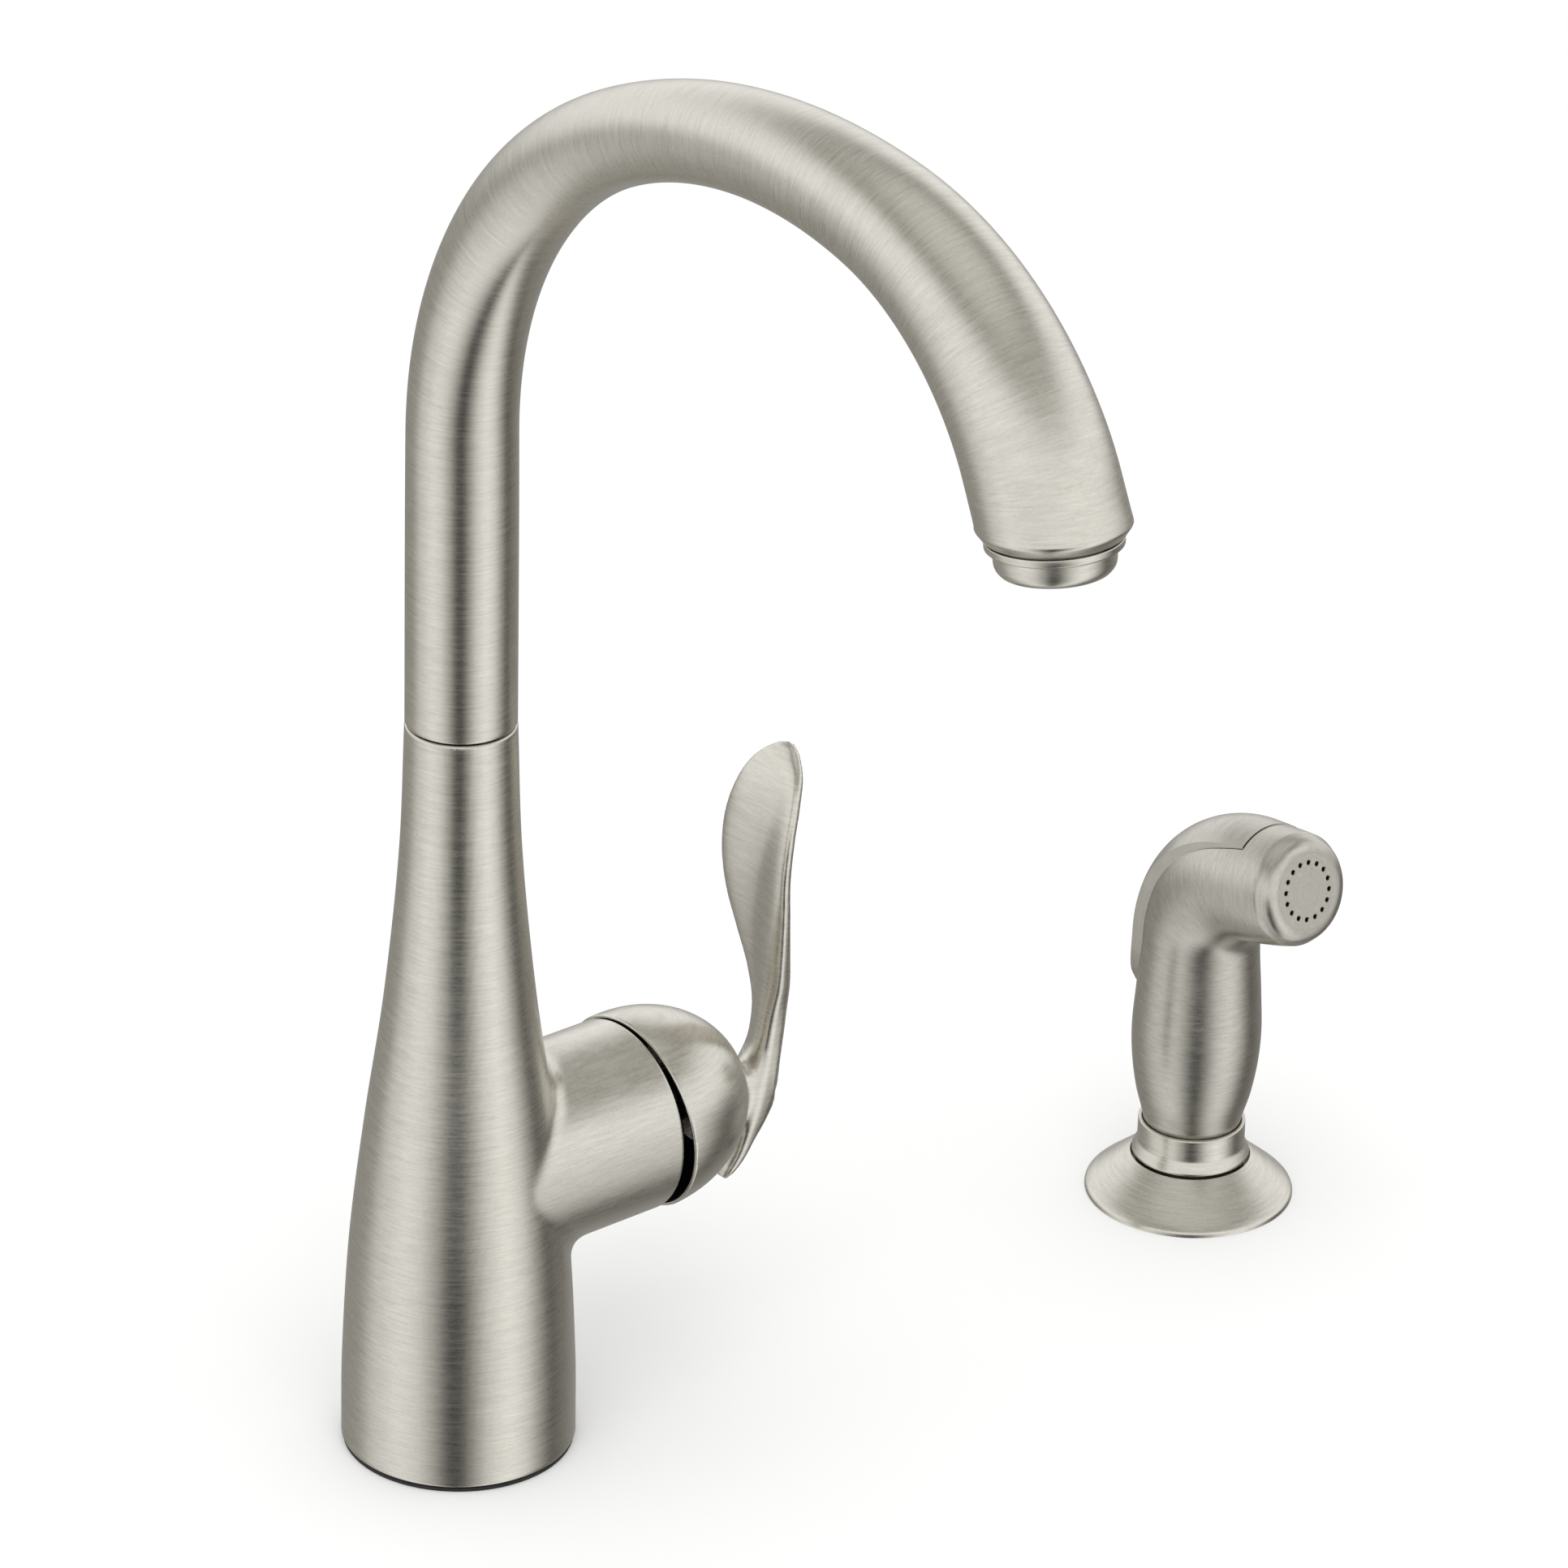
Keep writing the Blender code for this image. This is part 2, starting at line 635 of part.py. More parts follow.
def pocket_cutters(material):
    """The thumb lever's pocket, and its own shape with room to spare at steps of its swing."""
    cutters = [strip(
        "trigger_pocket", trigger_lengths(0.5),
        lambda radius, x: under_trigger(radius, x) - TRIGGER_ROOM, lambda radius, x: radius + 6,
        0.45, material,
    )]
    pin = pin_place()
    for step in range(1, PRESS_STEPS + 1):
        angle = math.radians(-TRIGGER_PRESS * step / PRESS_STEPS)
        swing = Matrix.Translation(pin) @ Matrix.Rotation(angle, 4, "X") @ Matrix.Translation(-pin)
        cutters.append(strip(
            f"swing_room_{step}", trigger_lengths(0.5),
            lambda radius, x: under_trigger(radius, x) - 0.3, lambda radius, x: trigger_top(radius, x) + 0.2,
            0.45 - 0.03 * step, material, swing,
        ))
    return cutters


def spray_body(nickel):
    end = head_length()
    lengths = [10, 19, 23, 27, 31, 36, 43, 50, 58, 66.8, 72, 78, 84, 90, 96, end - 10, end - 3.6]
    rings = []
    for length in lengths:
        centre, turn = head_station(length)
        rings.append(ring(centre, direction(turn), smooth_value(GRIP_RADII, length), SIDES))
    base, axis = nozzle_frame()
    for back, radius in ((1.4, 12.4), (0.2, 11.6), (0.0, 11.2)):
        rings.append(ring(base + (NOZZLE_LENGTH - back) * axis, axis, radius, SIDES))
    body = lofted("spray_body", rings, nickel)
    tools = [
        *pocket_cutters(nickel),
        turned("grip_bore", rod_profile(6.3, 5, 33), nickel, spray_origin(), sides=16),
        turned("water_channel", rod_profile(3.4, 30, 84), nickel, spray_origin() - 4 * Y, sides=12),
        turned("nozzle_bore", rod_profile(8, 0, 25), nickel, base, axis),
        turned("face_seat", rod_profile(FACE_RADIUS, NOZZLE_LENGTH - 3, 25), nickel, base, axis, FINE_SIDES),
        turned("plunger_bore", rod_profile(1.7, -30, 5), nickel, base, axis, 12),
        turned("spring_bore", rod_profile(3.1, -30, -17.5), nickel, base, axis, 16),
        turned("body_pin_hole", rod_profile(PIN_HOLE, -12, 12), nickel, pin_place(), X, 12),
    ]
    return cut(body, *tools)


def spray_face(plastic):
    base, axis = nozzle_frame()
    outline = rod_profile(FACE_RADIUS - GAP, NOZZLE_LENGTH - 2.7, NOZZLE_LENGTH)
    face = turned("spray_face", outline, plastic, base, axis, FINE_SIDES)
    frame = frame_at(base, axis)
    angles = [math.tau * (index + 0.5) / HOLE_COUNT for index in range(HOLE_COUNT)]
    places = [frame @ Vector((HOLE_CIRCLE * math.cos(a), HOLE_CIRCLE * math.sin(a), 0)) for a in angles]
    return cut(face, drills("face_holes", HOLE_RADIUS, 10, 25, places, axis, plastic, 6))


def trigger_parts(nickel, steel):
    trigger = strip("spray_trigger", trigger_lengths(0), under_trigger, trigger_top, 0, nickel)
    knuckle = turned("trigger_knuckle", rod_profile(2.5, -6.5, 6.5), nickel, pin_place(), X, 16)
    hole = turned("trigger_pin_hole", rod_profile(PIN_HOLE, -12, 12), nickel, pin_place(), X, 12)
    pin = turned("trigger_pin", rod_profile(PIN_RADIUS, -9.2, 9.2), steel, pin_place(), X, 12)
    return cut(join(trigger, knuckle), hole), pin


def spray_valve(plastic, rubber, steel, brass):
    base, axis = nozzle_frame()
    plunger = turned(
        "spray_plunger",
        [
            (0, -22.4), (2.0, -22.4), (2.0, -21.4), (PLUNGER_RADIUS, -21.4), (PLUNGER_RADIUS, 2.0), (4, 2.0),
            (4, 3.2), (0, 3.2),
        ],
        brass, base, axis, 16,
    )
    seal = turned("plunger_seal", tube_profile(1.5, 3.9, 0.3, 1.7), rubber, base, axis, 16)
    spring = turned("trigger_spring", tube_profile(1.9, 2.8, -19.3, -17.8), steel, base, axis, 16)
    coupling = turned(
        "hose_coupling",
        [(7.8, -8), (7.8, 9.0), (5.9, 9.0), (5.9, 29.5), (3, 29.5), (3, -8)],
        brass, spray_origin(), Z,
    )
    washer = turned("coupling_washer", tube_profile(2.5, 6.0, 30.0, 31.8), rubber, spray_origin())
    return plunger, seal, spring, coupling, washer


def main():
    clear_scene()
    nickel = make_material("brushed_nickel", (0.62, 0.59, 0.53), 1.0, 0.32)
    brass = make_material("brass", (0.72, 0.55, 0.27), 1.0, 0.35)
    copper = make_material("copper", (0.72, 0.43, 0.30), 1.0, 0.35)
    steel = make_material("steel", (0.55, 0.55, 0.55), 1.0, 0.35)
    rubber = make_material("rubber", (0.02, 0.02, 0.02), 0.0, 0.7)
    plastic = make_material("black_plastic", (0.03, 0.03, 0.03), 0.0, 0.5)
    ceramic = make_material("ceramic", (0.85, 0.84, 0.8), 0.0, 0.2)

    body_shell(nickel)
    base_parts(rubber, brass, steel, plastic)
    valve_block(brass)
    supply_tubes(copper)
    waterway_hub(brass)
    swivel_parts(plastic, rubber, steel)
    _, poppet = diverter_parts(plastic)
    hang_on("diverter_travel", (0, 0, 86.5), [poppet])

    cartridge_parts(rubber, ceramic, plastic, brass)
    carrier, pin = carrier_parts(plastic, steel)
    temperature = hang_on("temperature_axis", (PIVOT_X, 0, ARM_Z), [carrier, pin])
    hang_on("disc_travel", (22, 0, ARM_Z), [moving_disc(ceramic)], temperature)
    hang_on("tilt_axis", (PIVOT_X, 0, ARM_Z), handle_parts(nickel, steel, brass), temperature)

    fittings = spout_fittings(brass, nickel, plastic, rubber)
    hang_on("spout_swivel_axis", (0, 0, SEAM_Z), [spout_tube(nickel), *fittings])

    spray_seat(nickel, rubber, plastic)
    trigger, trigger_pin = trigger_parts(nickel, steel)
    plunger, seal, spring, coupling, washer = spray_valve(plastic, rubber, steel, brass)
    lift = hang_on("sprayer_lift", spray_origin(), [coupling])
    sprayer = [spray_body(nickel), spray_face(plastic), trigger_pin, spring, washer]
    turn = hang_on("sprayer_turn", spray_origin(10), sprayer, lift)
    hang_on("trigger_axis", pin_place(), [trigger], turn)
    hang_on("plunger_travel", nozzle_frame()[0], [plunger, seal], turn)


main()
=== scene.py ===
import json
import math

import bmesh
import bpy
import numpy as np
from mathutils import Matrix, Vector


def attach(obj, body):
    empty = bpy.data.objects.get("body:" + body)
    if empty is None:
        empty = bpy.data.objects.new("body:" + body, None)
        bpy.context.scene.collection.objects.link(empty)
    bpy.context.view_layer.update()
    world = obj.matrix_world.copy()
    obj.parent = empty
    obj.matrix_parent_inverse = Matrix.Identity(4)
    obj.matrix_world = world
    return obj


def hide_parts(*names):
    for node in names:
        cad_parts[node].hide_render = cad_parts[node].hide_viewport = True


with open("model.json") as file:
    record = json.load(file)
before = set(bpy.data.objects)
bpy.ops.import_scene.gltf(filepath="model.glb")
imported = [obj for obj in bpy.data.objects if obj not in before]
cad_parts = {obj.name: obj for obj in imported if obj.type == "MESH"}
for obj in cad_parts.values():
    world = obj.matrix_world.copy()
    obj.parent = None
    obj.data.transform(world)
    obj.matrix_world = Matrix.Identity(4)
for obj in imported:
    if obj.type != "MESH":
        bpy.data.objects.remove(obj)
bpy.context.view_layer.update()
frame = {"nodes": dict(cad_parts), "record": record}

# Lengths are in millimetres, in the part's own frame, and are scaled to metres by MM.
MM = 0.001
X, Y, Z = Vector((1, 0, 0)), Vector((0, 1, 0)), Vector((0, 0, 1))
SIDES = 144
SHARP_ANGLE = math.radians(38)

# Faucet body, as in the CAD.
BODY_OUTLINE = (
    (1.2, 26.0), (20, 25.8), (50, 24.15), (80, 20.7), (110, 16.5), (145, 13.2), (175.3, 12.1),
)
BODY_FOOT = 1.2
BODY_TOP = 175.3
BODY_BLANK_ENDS = (-6, 182)
BODY_WALL = 3.0
BODY_VOXEL = 0.9
NECK_BORE = 8.9
NECK_BORE_START = 149
RING_RECESS_RADIUS = 10.9
RING_RECESS_Z = 171.0
ARM_Z = 65.3
ARM_RADIUS = 22.1
ARM_BORE = 18.2
ARM_BORE_ENDS = (4, 50)
ARM_END = 45.4
ARM_BLANK_END = 52
BODY_FILLET = 5.8
EDGE_ROUND = 0.45
# Steps in and out from a cut edge that round it, and a last one in that starts its flat end.
EDGE_STEPS = ((0.13, 0.31), (0.19, 0.14), (0.8, 0))

# Handle.
PIVOT_X = 40.0
HANDLE_REST_TILT = 5.0
DOME_RADIUS = 22.8
DOME_LENGTH = 27.5
DOME_POWER = 2.1
DOME_OFFSET = 7.9
DOME_DROP = 0.8
DOME_WALL = 1.6
RIM_WALL = 0.7
# The black liner inside the dome is painted shade: a dark sheet that darkens the gap between the dome and the
# body. These give its wall and its gap from the dome.
SHADE_LINER_WALL = 0.35
SHADE_LINER_GAP = 0.03
DOME_TOP_WALL = 2.4
BOSS_RADIUS = 7.0
BOSS_CLEARANCE_RADIUS = 8
BOSS_CLEARANCE_DEPTH = 8
STEM_HOLE_RADIUS = 4.4
STEM_HOLE_START = 7
STEM_HOLE_DEPTH = 21.0
SCREW_HOLE_RADIUS = 2.2
SCREW_HOLE_LENGTH = 30
SCREW_HOLE_OFFSET = 12
HANDLE_VOXEL = 0.5
# Blade stations: x, z, half width along Y, half thickness, and how far its middle is dished back.
BLADE = (
    (74.6, 39.4, 1.2, 0.6, 0.0),
    (75.4, 41.0, 2.4, 1.1, 0.0),
    (77.6, 45.0, 3.6, 1.7, 0.0),
    (79.8, 50.5, 4.4, 2.3, 0.0),
    (82.0, 57.0, 4.9, 2.8, 0.0),
    (84.0, 64.0, 4.8, 3.2, 0.6),
    (85.6, 71.0, 4.6, 3.3, 1.4),
    (86.4, 79.0, 5.1, 3.1, 1.8),
    (86.0, 87.0, 7.0, 2.8, 2.0),
    (84.4, 96.0, 9.1, 2.5, 2.2),
    (82.8, 106.0, 10.9, 2.2, 2.2),
    (82.1, 116.0, 11.5, 2.0, 1.9),
    (83.1, 125.5, 11.3, 1.9, 1.4),
    (85.7, 133.5, 9.9, 1.8, 0.8),
    (88.7, 138.8, 7.4, 1.6, 0.0),
    (91.0, 142.4, 3.2, 1.2, 0.0),
    (91.6, 143.2, 1.0, 0.7, 0.0),
)
BLADE_POWER = 3.2
BLADE_BLANK_SIDES = 24
# The dish's reach to either side of its deepest line, and that line's place by z, in half widths.
DISH_REACH = (1.0, 0.55)
DISH_PLACE = ((64, 0.7), (79, 0.65), (96, 0.35), (106, 0.1), (116, -0.1), (130, -0.35), (140, -0.5))
STALK_START = 68.0
STALK_END = 84.0
STALK_HALVES = ((68, 6.6, 7.6), (72, 5.6, 7.0), (76, 4.6, 6.4), (84, 3.4, 6.6))
STALK_Z = 59.5
STALK_BLANK_RADIUS = 5
HANDLE_FILLET = 4.6

# Spout.
SEAM_Z = 175.7
BEND_START_Z = 242.3
BENDS = ((91.5, 64.0), (123.1, 38.6), (69.4, 52.6))
TIP_LENGTH = 7.4
SPOUT_RADII = (
    (-67, 12.05), (0, 11.85), (60, 11.05), (105, 10.15), (140, 10.55), (175, 11.65), (215, 13.5),
    (257, 15.15),
)
SPOUT_WALL = 1.5
SPOUT_RINGS = 170
# How far a lengthwise step from the seam is held back from the spout's radius, for a rounded edge.
SEAM_EDGE = ((0, 0.4), (0.12, 0.12), (0.4, 0))
OUTLET_TURN = math.radians(180 - 7)
OUTLET_TURN_LENGTH = 15.0
OUTLET_EDGE = ((0.3, 15.17), (0.7, 15.0), (1.1, 14.7), (2.2, 13.95), (2.45, 13.7), (2.6, 13.4))
OUTLET_LIP = 2.6
OUTLET_BORE = 12.4
OUTLET_BORE_DEPTH = 9
OUTLET_THROAT = 12
AERATOR_RIBS = 16

# Side sprayer.
SPRAY_CENTRE = Vector((203.8, -16.9, 0))
GRIP_RADII = (
    (10, 11.1), (19, 11.5), (27, 13.5), (35, 14.75), (43, 15.15), (53, 14.6), (66.8, 13.7), (84, 14.2),
    (98, 14.1), (107, 13.6), (114.5, 12.6),
)
HEAD_BEND_Z = 66.8
HEAD_BEND_RADIUS = 22.0
HEAD_BEND = math.radians(76)
NOZZLE_LENGTH = 18.0
HEAD_LENGTH = HEAD_BEND_Z + HEAD_BEND_RADIUS * HEAD_BEND + NOZZLE_LENGTH
MOUTH_ROUND = 3.2
FACE_RADIUS = 9.0
HOLE_COUNT = 16
HOLE_CIRCLE = 6.6
HOLE_RADIUS = 0.55
HOLE_RIM = HOLE_RADIUS + 0.17
TRIGGER_ENDS = (51.0, 103.0)
TRIGGER_WIDTHS = ((51, 6.0), (56, 9.0), (66, 10.5), (85, 10.5), (103, 8.4))
TRIGGER_RISE = ((51, 1.4), (58, 2.3), (70, 2.4), (84, 1.7), (96, 0.8), (103, 0.25))
TRIGGER_WALL = 2.2
TRIGGER_PRESS = 3.0
TRIGGER_SEAM = 0.28
POCKET_DEPTH = 4.4
SWING_CLEARANCE = 0.2
CLEAR_OF_SKIN = 8
PIN_PLACE = Vector((203.8, -32.3, 97.5))

# Camera.
CAMERA_PLACE = Vector((-0.8799, -1.1463, 0.8809))
CAMERA_LOOK = Vector((0.57826, 0.68344, -0.44555))
CAMERA_ROLL = math.radians(1.44)
CAMERA_LENS = 174.11

# Studio, in metres. Strengths are by degrees round the horizon from the camera, positive to the right,
# and above it by the sine of the height. SKY_RISE is where one gives way to the other.
PANELS = (
    (-180, 0.42), (-150, 0.36), (-115, 0.42), (-84, 0.92), (-58, 1.18), (-40, 1.05), (-23, 0.6),
    (-7, 0.03), (5, 0.02), (19, 0.5), (34, 1.02), (54, 1.32), (72, 1.05), (88, 0.5), (104, 0.1),
    (125, 0.26), (150, 0.36), (180, 0.42),
)
SKY = (
    (0.0, 1.12), (0.28, 1.2), (0.5, 1.12), (0.62, 0.86), (0.73, 0.46), (0.82, 0.5), (0.92, 0.75),
    (1.0, 0.85),
)
SKY_RISE = (-0.22, 0.14)
WARM, COOL = (0.96, 0.93, 0.84), (1.0, 1.015, 1.02)
WORLD_TURN = math.radians(130.2)
FLOOR_HALF = 6.0
LAMP_PLACE = Vector((-0.5, -0.7, 1.8))
LAMP_AIM = Vector((0.1, -0.05, 0.15))
LAMP_SIZE = 1.6
LAMP_POWER = 9


# Curves and sections


def smooth_value(points, at, column=1):
    """The height of a smooth curve through points, by their first number, flat past its ends."""
    if at <= points[0][0]:
        return points[0][column]
    if at >= points[-1][0]:
        return points[-1][column]
    index = max(i for i, point in enumerate(points[:-1]) if point[0] <= at)
    (x0, y0), (x1, y1) = [(point[0], point[column]) for point in points[index:index + 2]]

    def slope(i):
        before, after = points[max(i - 1, 0)], points[min(i + 1, len(points) - 1)]
        return (after[column] - before[column]) / (after[0] - before[0])

    span = x1 - x0
    t = (at - x0) / span
    rise = 3 * t * t - 2 * t * t * t
    return (
        y0 + (y1 - y0) * rise
        + slope(index) * span * (t - 2 * t * t + t * t * t)
        + slope(index + 1) * span * (t * t * t - t * t)
    )


def steps(start, stop, count):
    return [start + (stop - start) * i / count for i in range(count + 1)]


def direction(turn):
    """A direction in the YZ plane, turned from straight up towards -Y."""
    return Vector((0, -math.sin(turn), math.cos(turn)))


def frame_at(origin, axis):
    turn = Vector(axis).normalized().to_track_quat("Z", "Y").to_matrix().to_4x4()
    return Matrix.Translation(Vector(origin)) @ turn


def softened(profile, segments=4):
    """A closed profile with each (radius, height, rounding) corner rounded off."""
    points = []
    count = len(profile)
    for i, (radius, height, rounding) in enumerate(profile):
        corner = Vector((radius, height))
        if rounding <= 0:
            points.append((radius, height))
            continue
        ends = []
        for other in (profile[i - 1], profile[(i + 1) % count]):
            towards = Vector(other[:2]) - corner
            ends.append(corner + towards * min(rounding / towards.length, 0.48))
        for t in steps(0, 1, segments):
            point = ends[0] * (1 - t) ** 2 + corner * 2 * t * (1 - t) + ends[1] * t * t
            points.append((point.x, point.y))
    return points


# Meshes. Each has a "brush" attribute: place across the section, and length along the surface.


def make_mesh(name, points, faces, brush):
    mesh = bpy.data.meshes.new(name)
    mesh.from_pydata([tuple(MM * p for p in point) for point in points], [], faces)
    attribute = mesh.attributes.new("brush", "FLOAT_VECTOR", "POINT")
    attribute.data.foreach_set("vector", np.array(brush, np.float32).ravel())
    return mesh


def close_mesh(mesh):
    bm = bmesh.new()
    bm.from_mesh(mesh)
    bmesh.ops.recalc_face_normals(bm, faces=bm.faces[:])
    bm.to_mesh(mesh)
    bm.free()
    mesh.shade_smooth()
    mesh.set_sharp_from_angle(angle=SHARP_ANGLE)


def new_object(name, mesh):
    piece = bpy.data.objects.new(name, mesh)
    bpy.context.collection.objects.link(piece)
    return piece


def skin(name, rings, brush_rings, wrap=True):
    """A mesh over rings of points; a ring of one point is a pole."""
    points, brush, rows = [], [], []
    for ring, strokes in zip(rings, brush_rings):
        rows.append(list(range(len(points), len(points) + len(ring))))
        points.extend(ring)
        brush.extend(strokes)
    pairs = list(zip(rows, rows[1:]))
    if wrap:
        pairs.append((rows[-1], rows[0]))
    faces = []
    for low, high in pairs:
        count = max(len(low), len(high))
        for i in range(count):
            j = (i + 1) % count
            corners = [low[i % len(low)], low[j % len(low)], high[j % len(high)], high[i % len(high)]]
            corners = list(dict.fromkeys(corners))
            if len(corners) > 2:
                faces.append(corners)
    if not wrap:
        faces += [row for row in (rows[0], rows[-1]) if len(row) > 1]
    mesh = make_mesh(name, points, faces, brush)
    close_mesh(mesh)
    return new_object(name, mesh)


def turned(name, profile, origin=(0, 0, 0), axis=Z, sides=SIDES):
    """A solid of revolution from a closed (radius, height) profile."""
    place = frame_at(origin, axis)
    around = [(math.cos(math.tau * i / sides), math.sin(math.tau * i / sides)) for i in range(sides)]
    rings, strokes = [], []
    length, last = 0.0, profile[0]
    for radius, height in profile:
        length += math.hypot(radius - last[0], height - last[1])
        last = (radius, height)
        turns = around if radius > 1e-6 else [(0, 0)]
        rings.append([place @ Vector((radius * c, radius * s, height)) for c, s in turns])
        strokes.append([(radius * c, radius * s, length) for c, s in turns])
    return skin(name, rings, strokes, wrap=len(rings[0]) > 1)


def rod(name, radius, low, high, origin=(0, 0, 0), axis=Z, sides=SIDES):
    return turned(name, [(0, low), (radius, low), (radius, high), (0, high)], origin, axis, sides)


def tube_ring(centre, turn, radius, sides=SIDES):
    """Points round a tube that runs in the YZ plane, and their places across it."""
    across = direction(turn).cross(X).normalized()
    points, places = [], []
    for i in range(sides):
        c, s = math.cos(math.tau * i / sides), math.sin(math.tau * i / sides)
        points.append(Vector(centre) + radius * (c * X + s * across))
        places.append((radius * c, radius * s))
    return points, places


def tube(name, stations, wrap):
    """A skin over (centre, turn, radius, length) stations."""
    rings, strokes = [], []
    for centre, turn, radius, length in stations:
        points, places = tube_ring(centre, turn, radius)
        rings.append(points)
        strokes.append([(x, y, length) for x, y in places])
    return skin(name, rings, strokes, wrap)


def apply_modifiers(piece):
    graph = bpy.context.evaluated_depsgraph_get()
    mesh = bpy.data.meshes.new_from_object(piece.evaluated_get(graph))
    piece.modifiers.clear()
    piece.data = mesh


def combine(piece, tools, operation="DIFFERENCE"):
    """Applies Boolean tools to a piece, and removes them."""
    for tool in tools:
        modifier = piece.modifiers.new(tool.name, "BOOLEAN")
        modifier.operation = operation
        modifier.solver = "EXACT"
        modifier.object = tool
    apply_modifiers(piece)
    for tool in tools:
        bpy.data.objects.remove(tool, do_unlink=True)
    piece.data.shade_smooth()
    piece.data.set_sharp_from_angle(angle=SHARP_ANGLE)
    return piece


def remeshed(name, blanks, voxel):
    """One skin over overlapping blanks, which are removed."""
    points, faces = [], []
    for blank in blanks:
        first = len(points)
        points += [tuple(vertex.co) for vertex in blank.data.vertices]
        faces += [[first + i for i in face.vertices] for face in blank.data.polygons]
        bpy.data.objects.remove(blank, do_unlink=True)
    mesh = bpy.data.meshes.new(name)
    mesh.from_pydata(points, [], faces)
    piece = new_object(name, mesh)
    bpy.context.view_layer.update()
    modifier = piece.modifiers.new("remesh", "REMESH")
    modifier.mode = "VOXEL"
    modifier.voxel_size = voxel * MM
    apply_modifiers(piece)
    return piece


def gradient(distance, points, step=0.05):
    columns = []
    for axis in np.eye(3) * step:
        columns.append((distance(points + axis) - distance(points - axis)) / (2 * step))
    return np.stack(columns, 1)


def settle(piece, distance, rounds=5):
    """Moves each vertex onto the surface where distance is zero."""
    mesh = piece.data
    points = np.empty(len(mesh.vertices) * 3)
    mesh.vertices.foreach_get("co", points)
    points = points.reshape(-1, 3) / MM
    for _ in range(rounds):
        slope = gradient(distance, points)
        length = np.maximum((slope ** 2).sum(1), 0.05)
        move = (distance(points) / length)[:, None] * slope
        points -= np.clip(move, -1, 1)
    mesh.vertices.foreach_set("co", (points * MM).ravel())
    mesh.update()


def smooth_min(a, b, reach):
    share = np.clip(0.5 + 0.5 * (b - a) / reach, 0, 1)
    return b + (a - b) * share - reach * share * (1 - share)


def trim(bm, place, axis):
    """Cuts a mesh off at a plane, with a small rounded edge and a flat end."""
    normal = Vector(axis).normalized()
    cut_at = Vector(place) - EDGE_ROUND * normal
    everything = bm.verts[:] + bm.edges[:] + bm.faces[:]
    bmesh.ops.bisect_plane(
        bm, geom=everything, plane_co=cut_at * MM, plane_no=normal, clear_outer=True, dist=1e-7,
    )
    loop = [edge for edge in bm.edges if edge.is_boundary]
    for inwards, outwards in EDGE_STEPS:
        made = bmesh.ops.extrude_edge_only(bm, edges=loop)["geom"]
        for vert in [v for v in made if isinstance(v, bmesh.types.BMVert)]:
            radial = vert.co - Vector(place) * MM
            radial -= radial.dot(normal) * normal
            vert.co += (outwards * normal - inwards * radial.normalized()) * MM
        loop = [edge for edge in made if isinstance(edge, bmesh.types.BMEdge) and edge.is_boundary]
    bmesh.ops.edgeloop_fill(bm, edges=loop)


def level_brush(piece):
    """Makes the strokes on a piece run level."""
    mesh = piece.data
    points = np.empty(len(mesh.vertices) * 3)
    mesh.vertices.foreach_get("co", points)
    attribute = mesh.attributes.get("brush") or mesh.attributes.new("brush", "FLOAT_VECTOR", "POINT")
    attribute.data.foreach_set("vector", (points / MM).astype(np.float32))


def place_piece(piece, material, body, slot, *nodes):
    piece.data.materials.clear()
    piece.data.materials.append(material)
    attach(piece, body)
    if nodes:
        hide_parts(*nodes)
    return piece


# Materials


def principled(name, metallic, specular=0.5):
    material = bpy.data.materials.new(name)
    material.use_nodes = True
    tree = material.node_tree
    shader = tree.nodes["Principled BSDF"]
    shader.inputs["Metallic"].default_value = metallic
    shader.inputs["Specular IOR Level"].default_value = specular
    return material, tree, shader


def noise(tree, vector, scale, detail, roughness=0.6):
    node = tree.nodes.new("ShaderNodeTexNoise")
    node.inputs["Scale"].default_value = scale
    node.inputs["Detail"].default_value = detail
    node.inputs["Roughness"].default_value = roughness
    tree.links.new(vector, node.inputs["Vector"])
    return node.outputs["Fac"]


def scaled(tree, vector, factors):
    node = tree.nodes.new("ShaderNodeVectorMath")
    node.operation = "MULTIPLY"
    node.inputs[1].default_value = factors
    tree.links.new(vector, node.inputs[0])
    return node.outputs["Vector"]


def ramp(tree, value, stops, interpolation="LINEAR"):
    """stops are (position, colour) or (position, grey)."""
    node = tree.nodes.new("ShaderNodeValToRGB")
    node.color_ramp.interpolation = interpolation
    elements = node.color_ramp.elements
    while len(elements) < len(stops):
        elements.new(0.5)
    for element, (position, colour) in zip(elements, stops):
        element.position = position
        element.color = (*colour, 1) if isinstance(colour, tuple) else (colour, colour, colour, 1)
    tree.links.new(value, node.inputs["Fac"])
    return node.outputs["Color"]


def bump(tree, shader, height, strength, distance):
    node = tree.nodes.new("ShaderNodeBump")
    node.inputs["Strength"].default_value = strength
    node.inputs["Distance"].default_value = distance * MM
    tree.links.new(height, node.inputs["Height"])
    tree.links.new(node.outputs["Normal"], shader.inputs["Normal"])


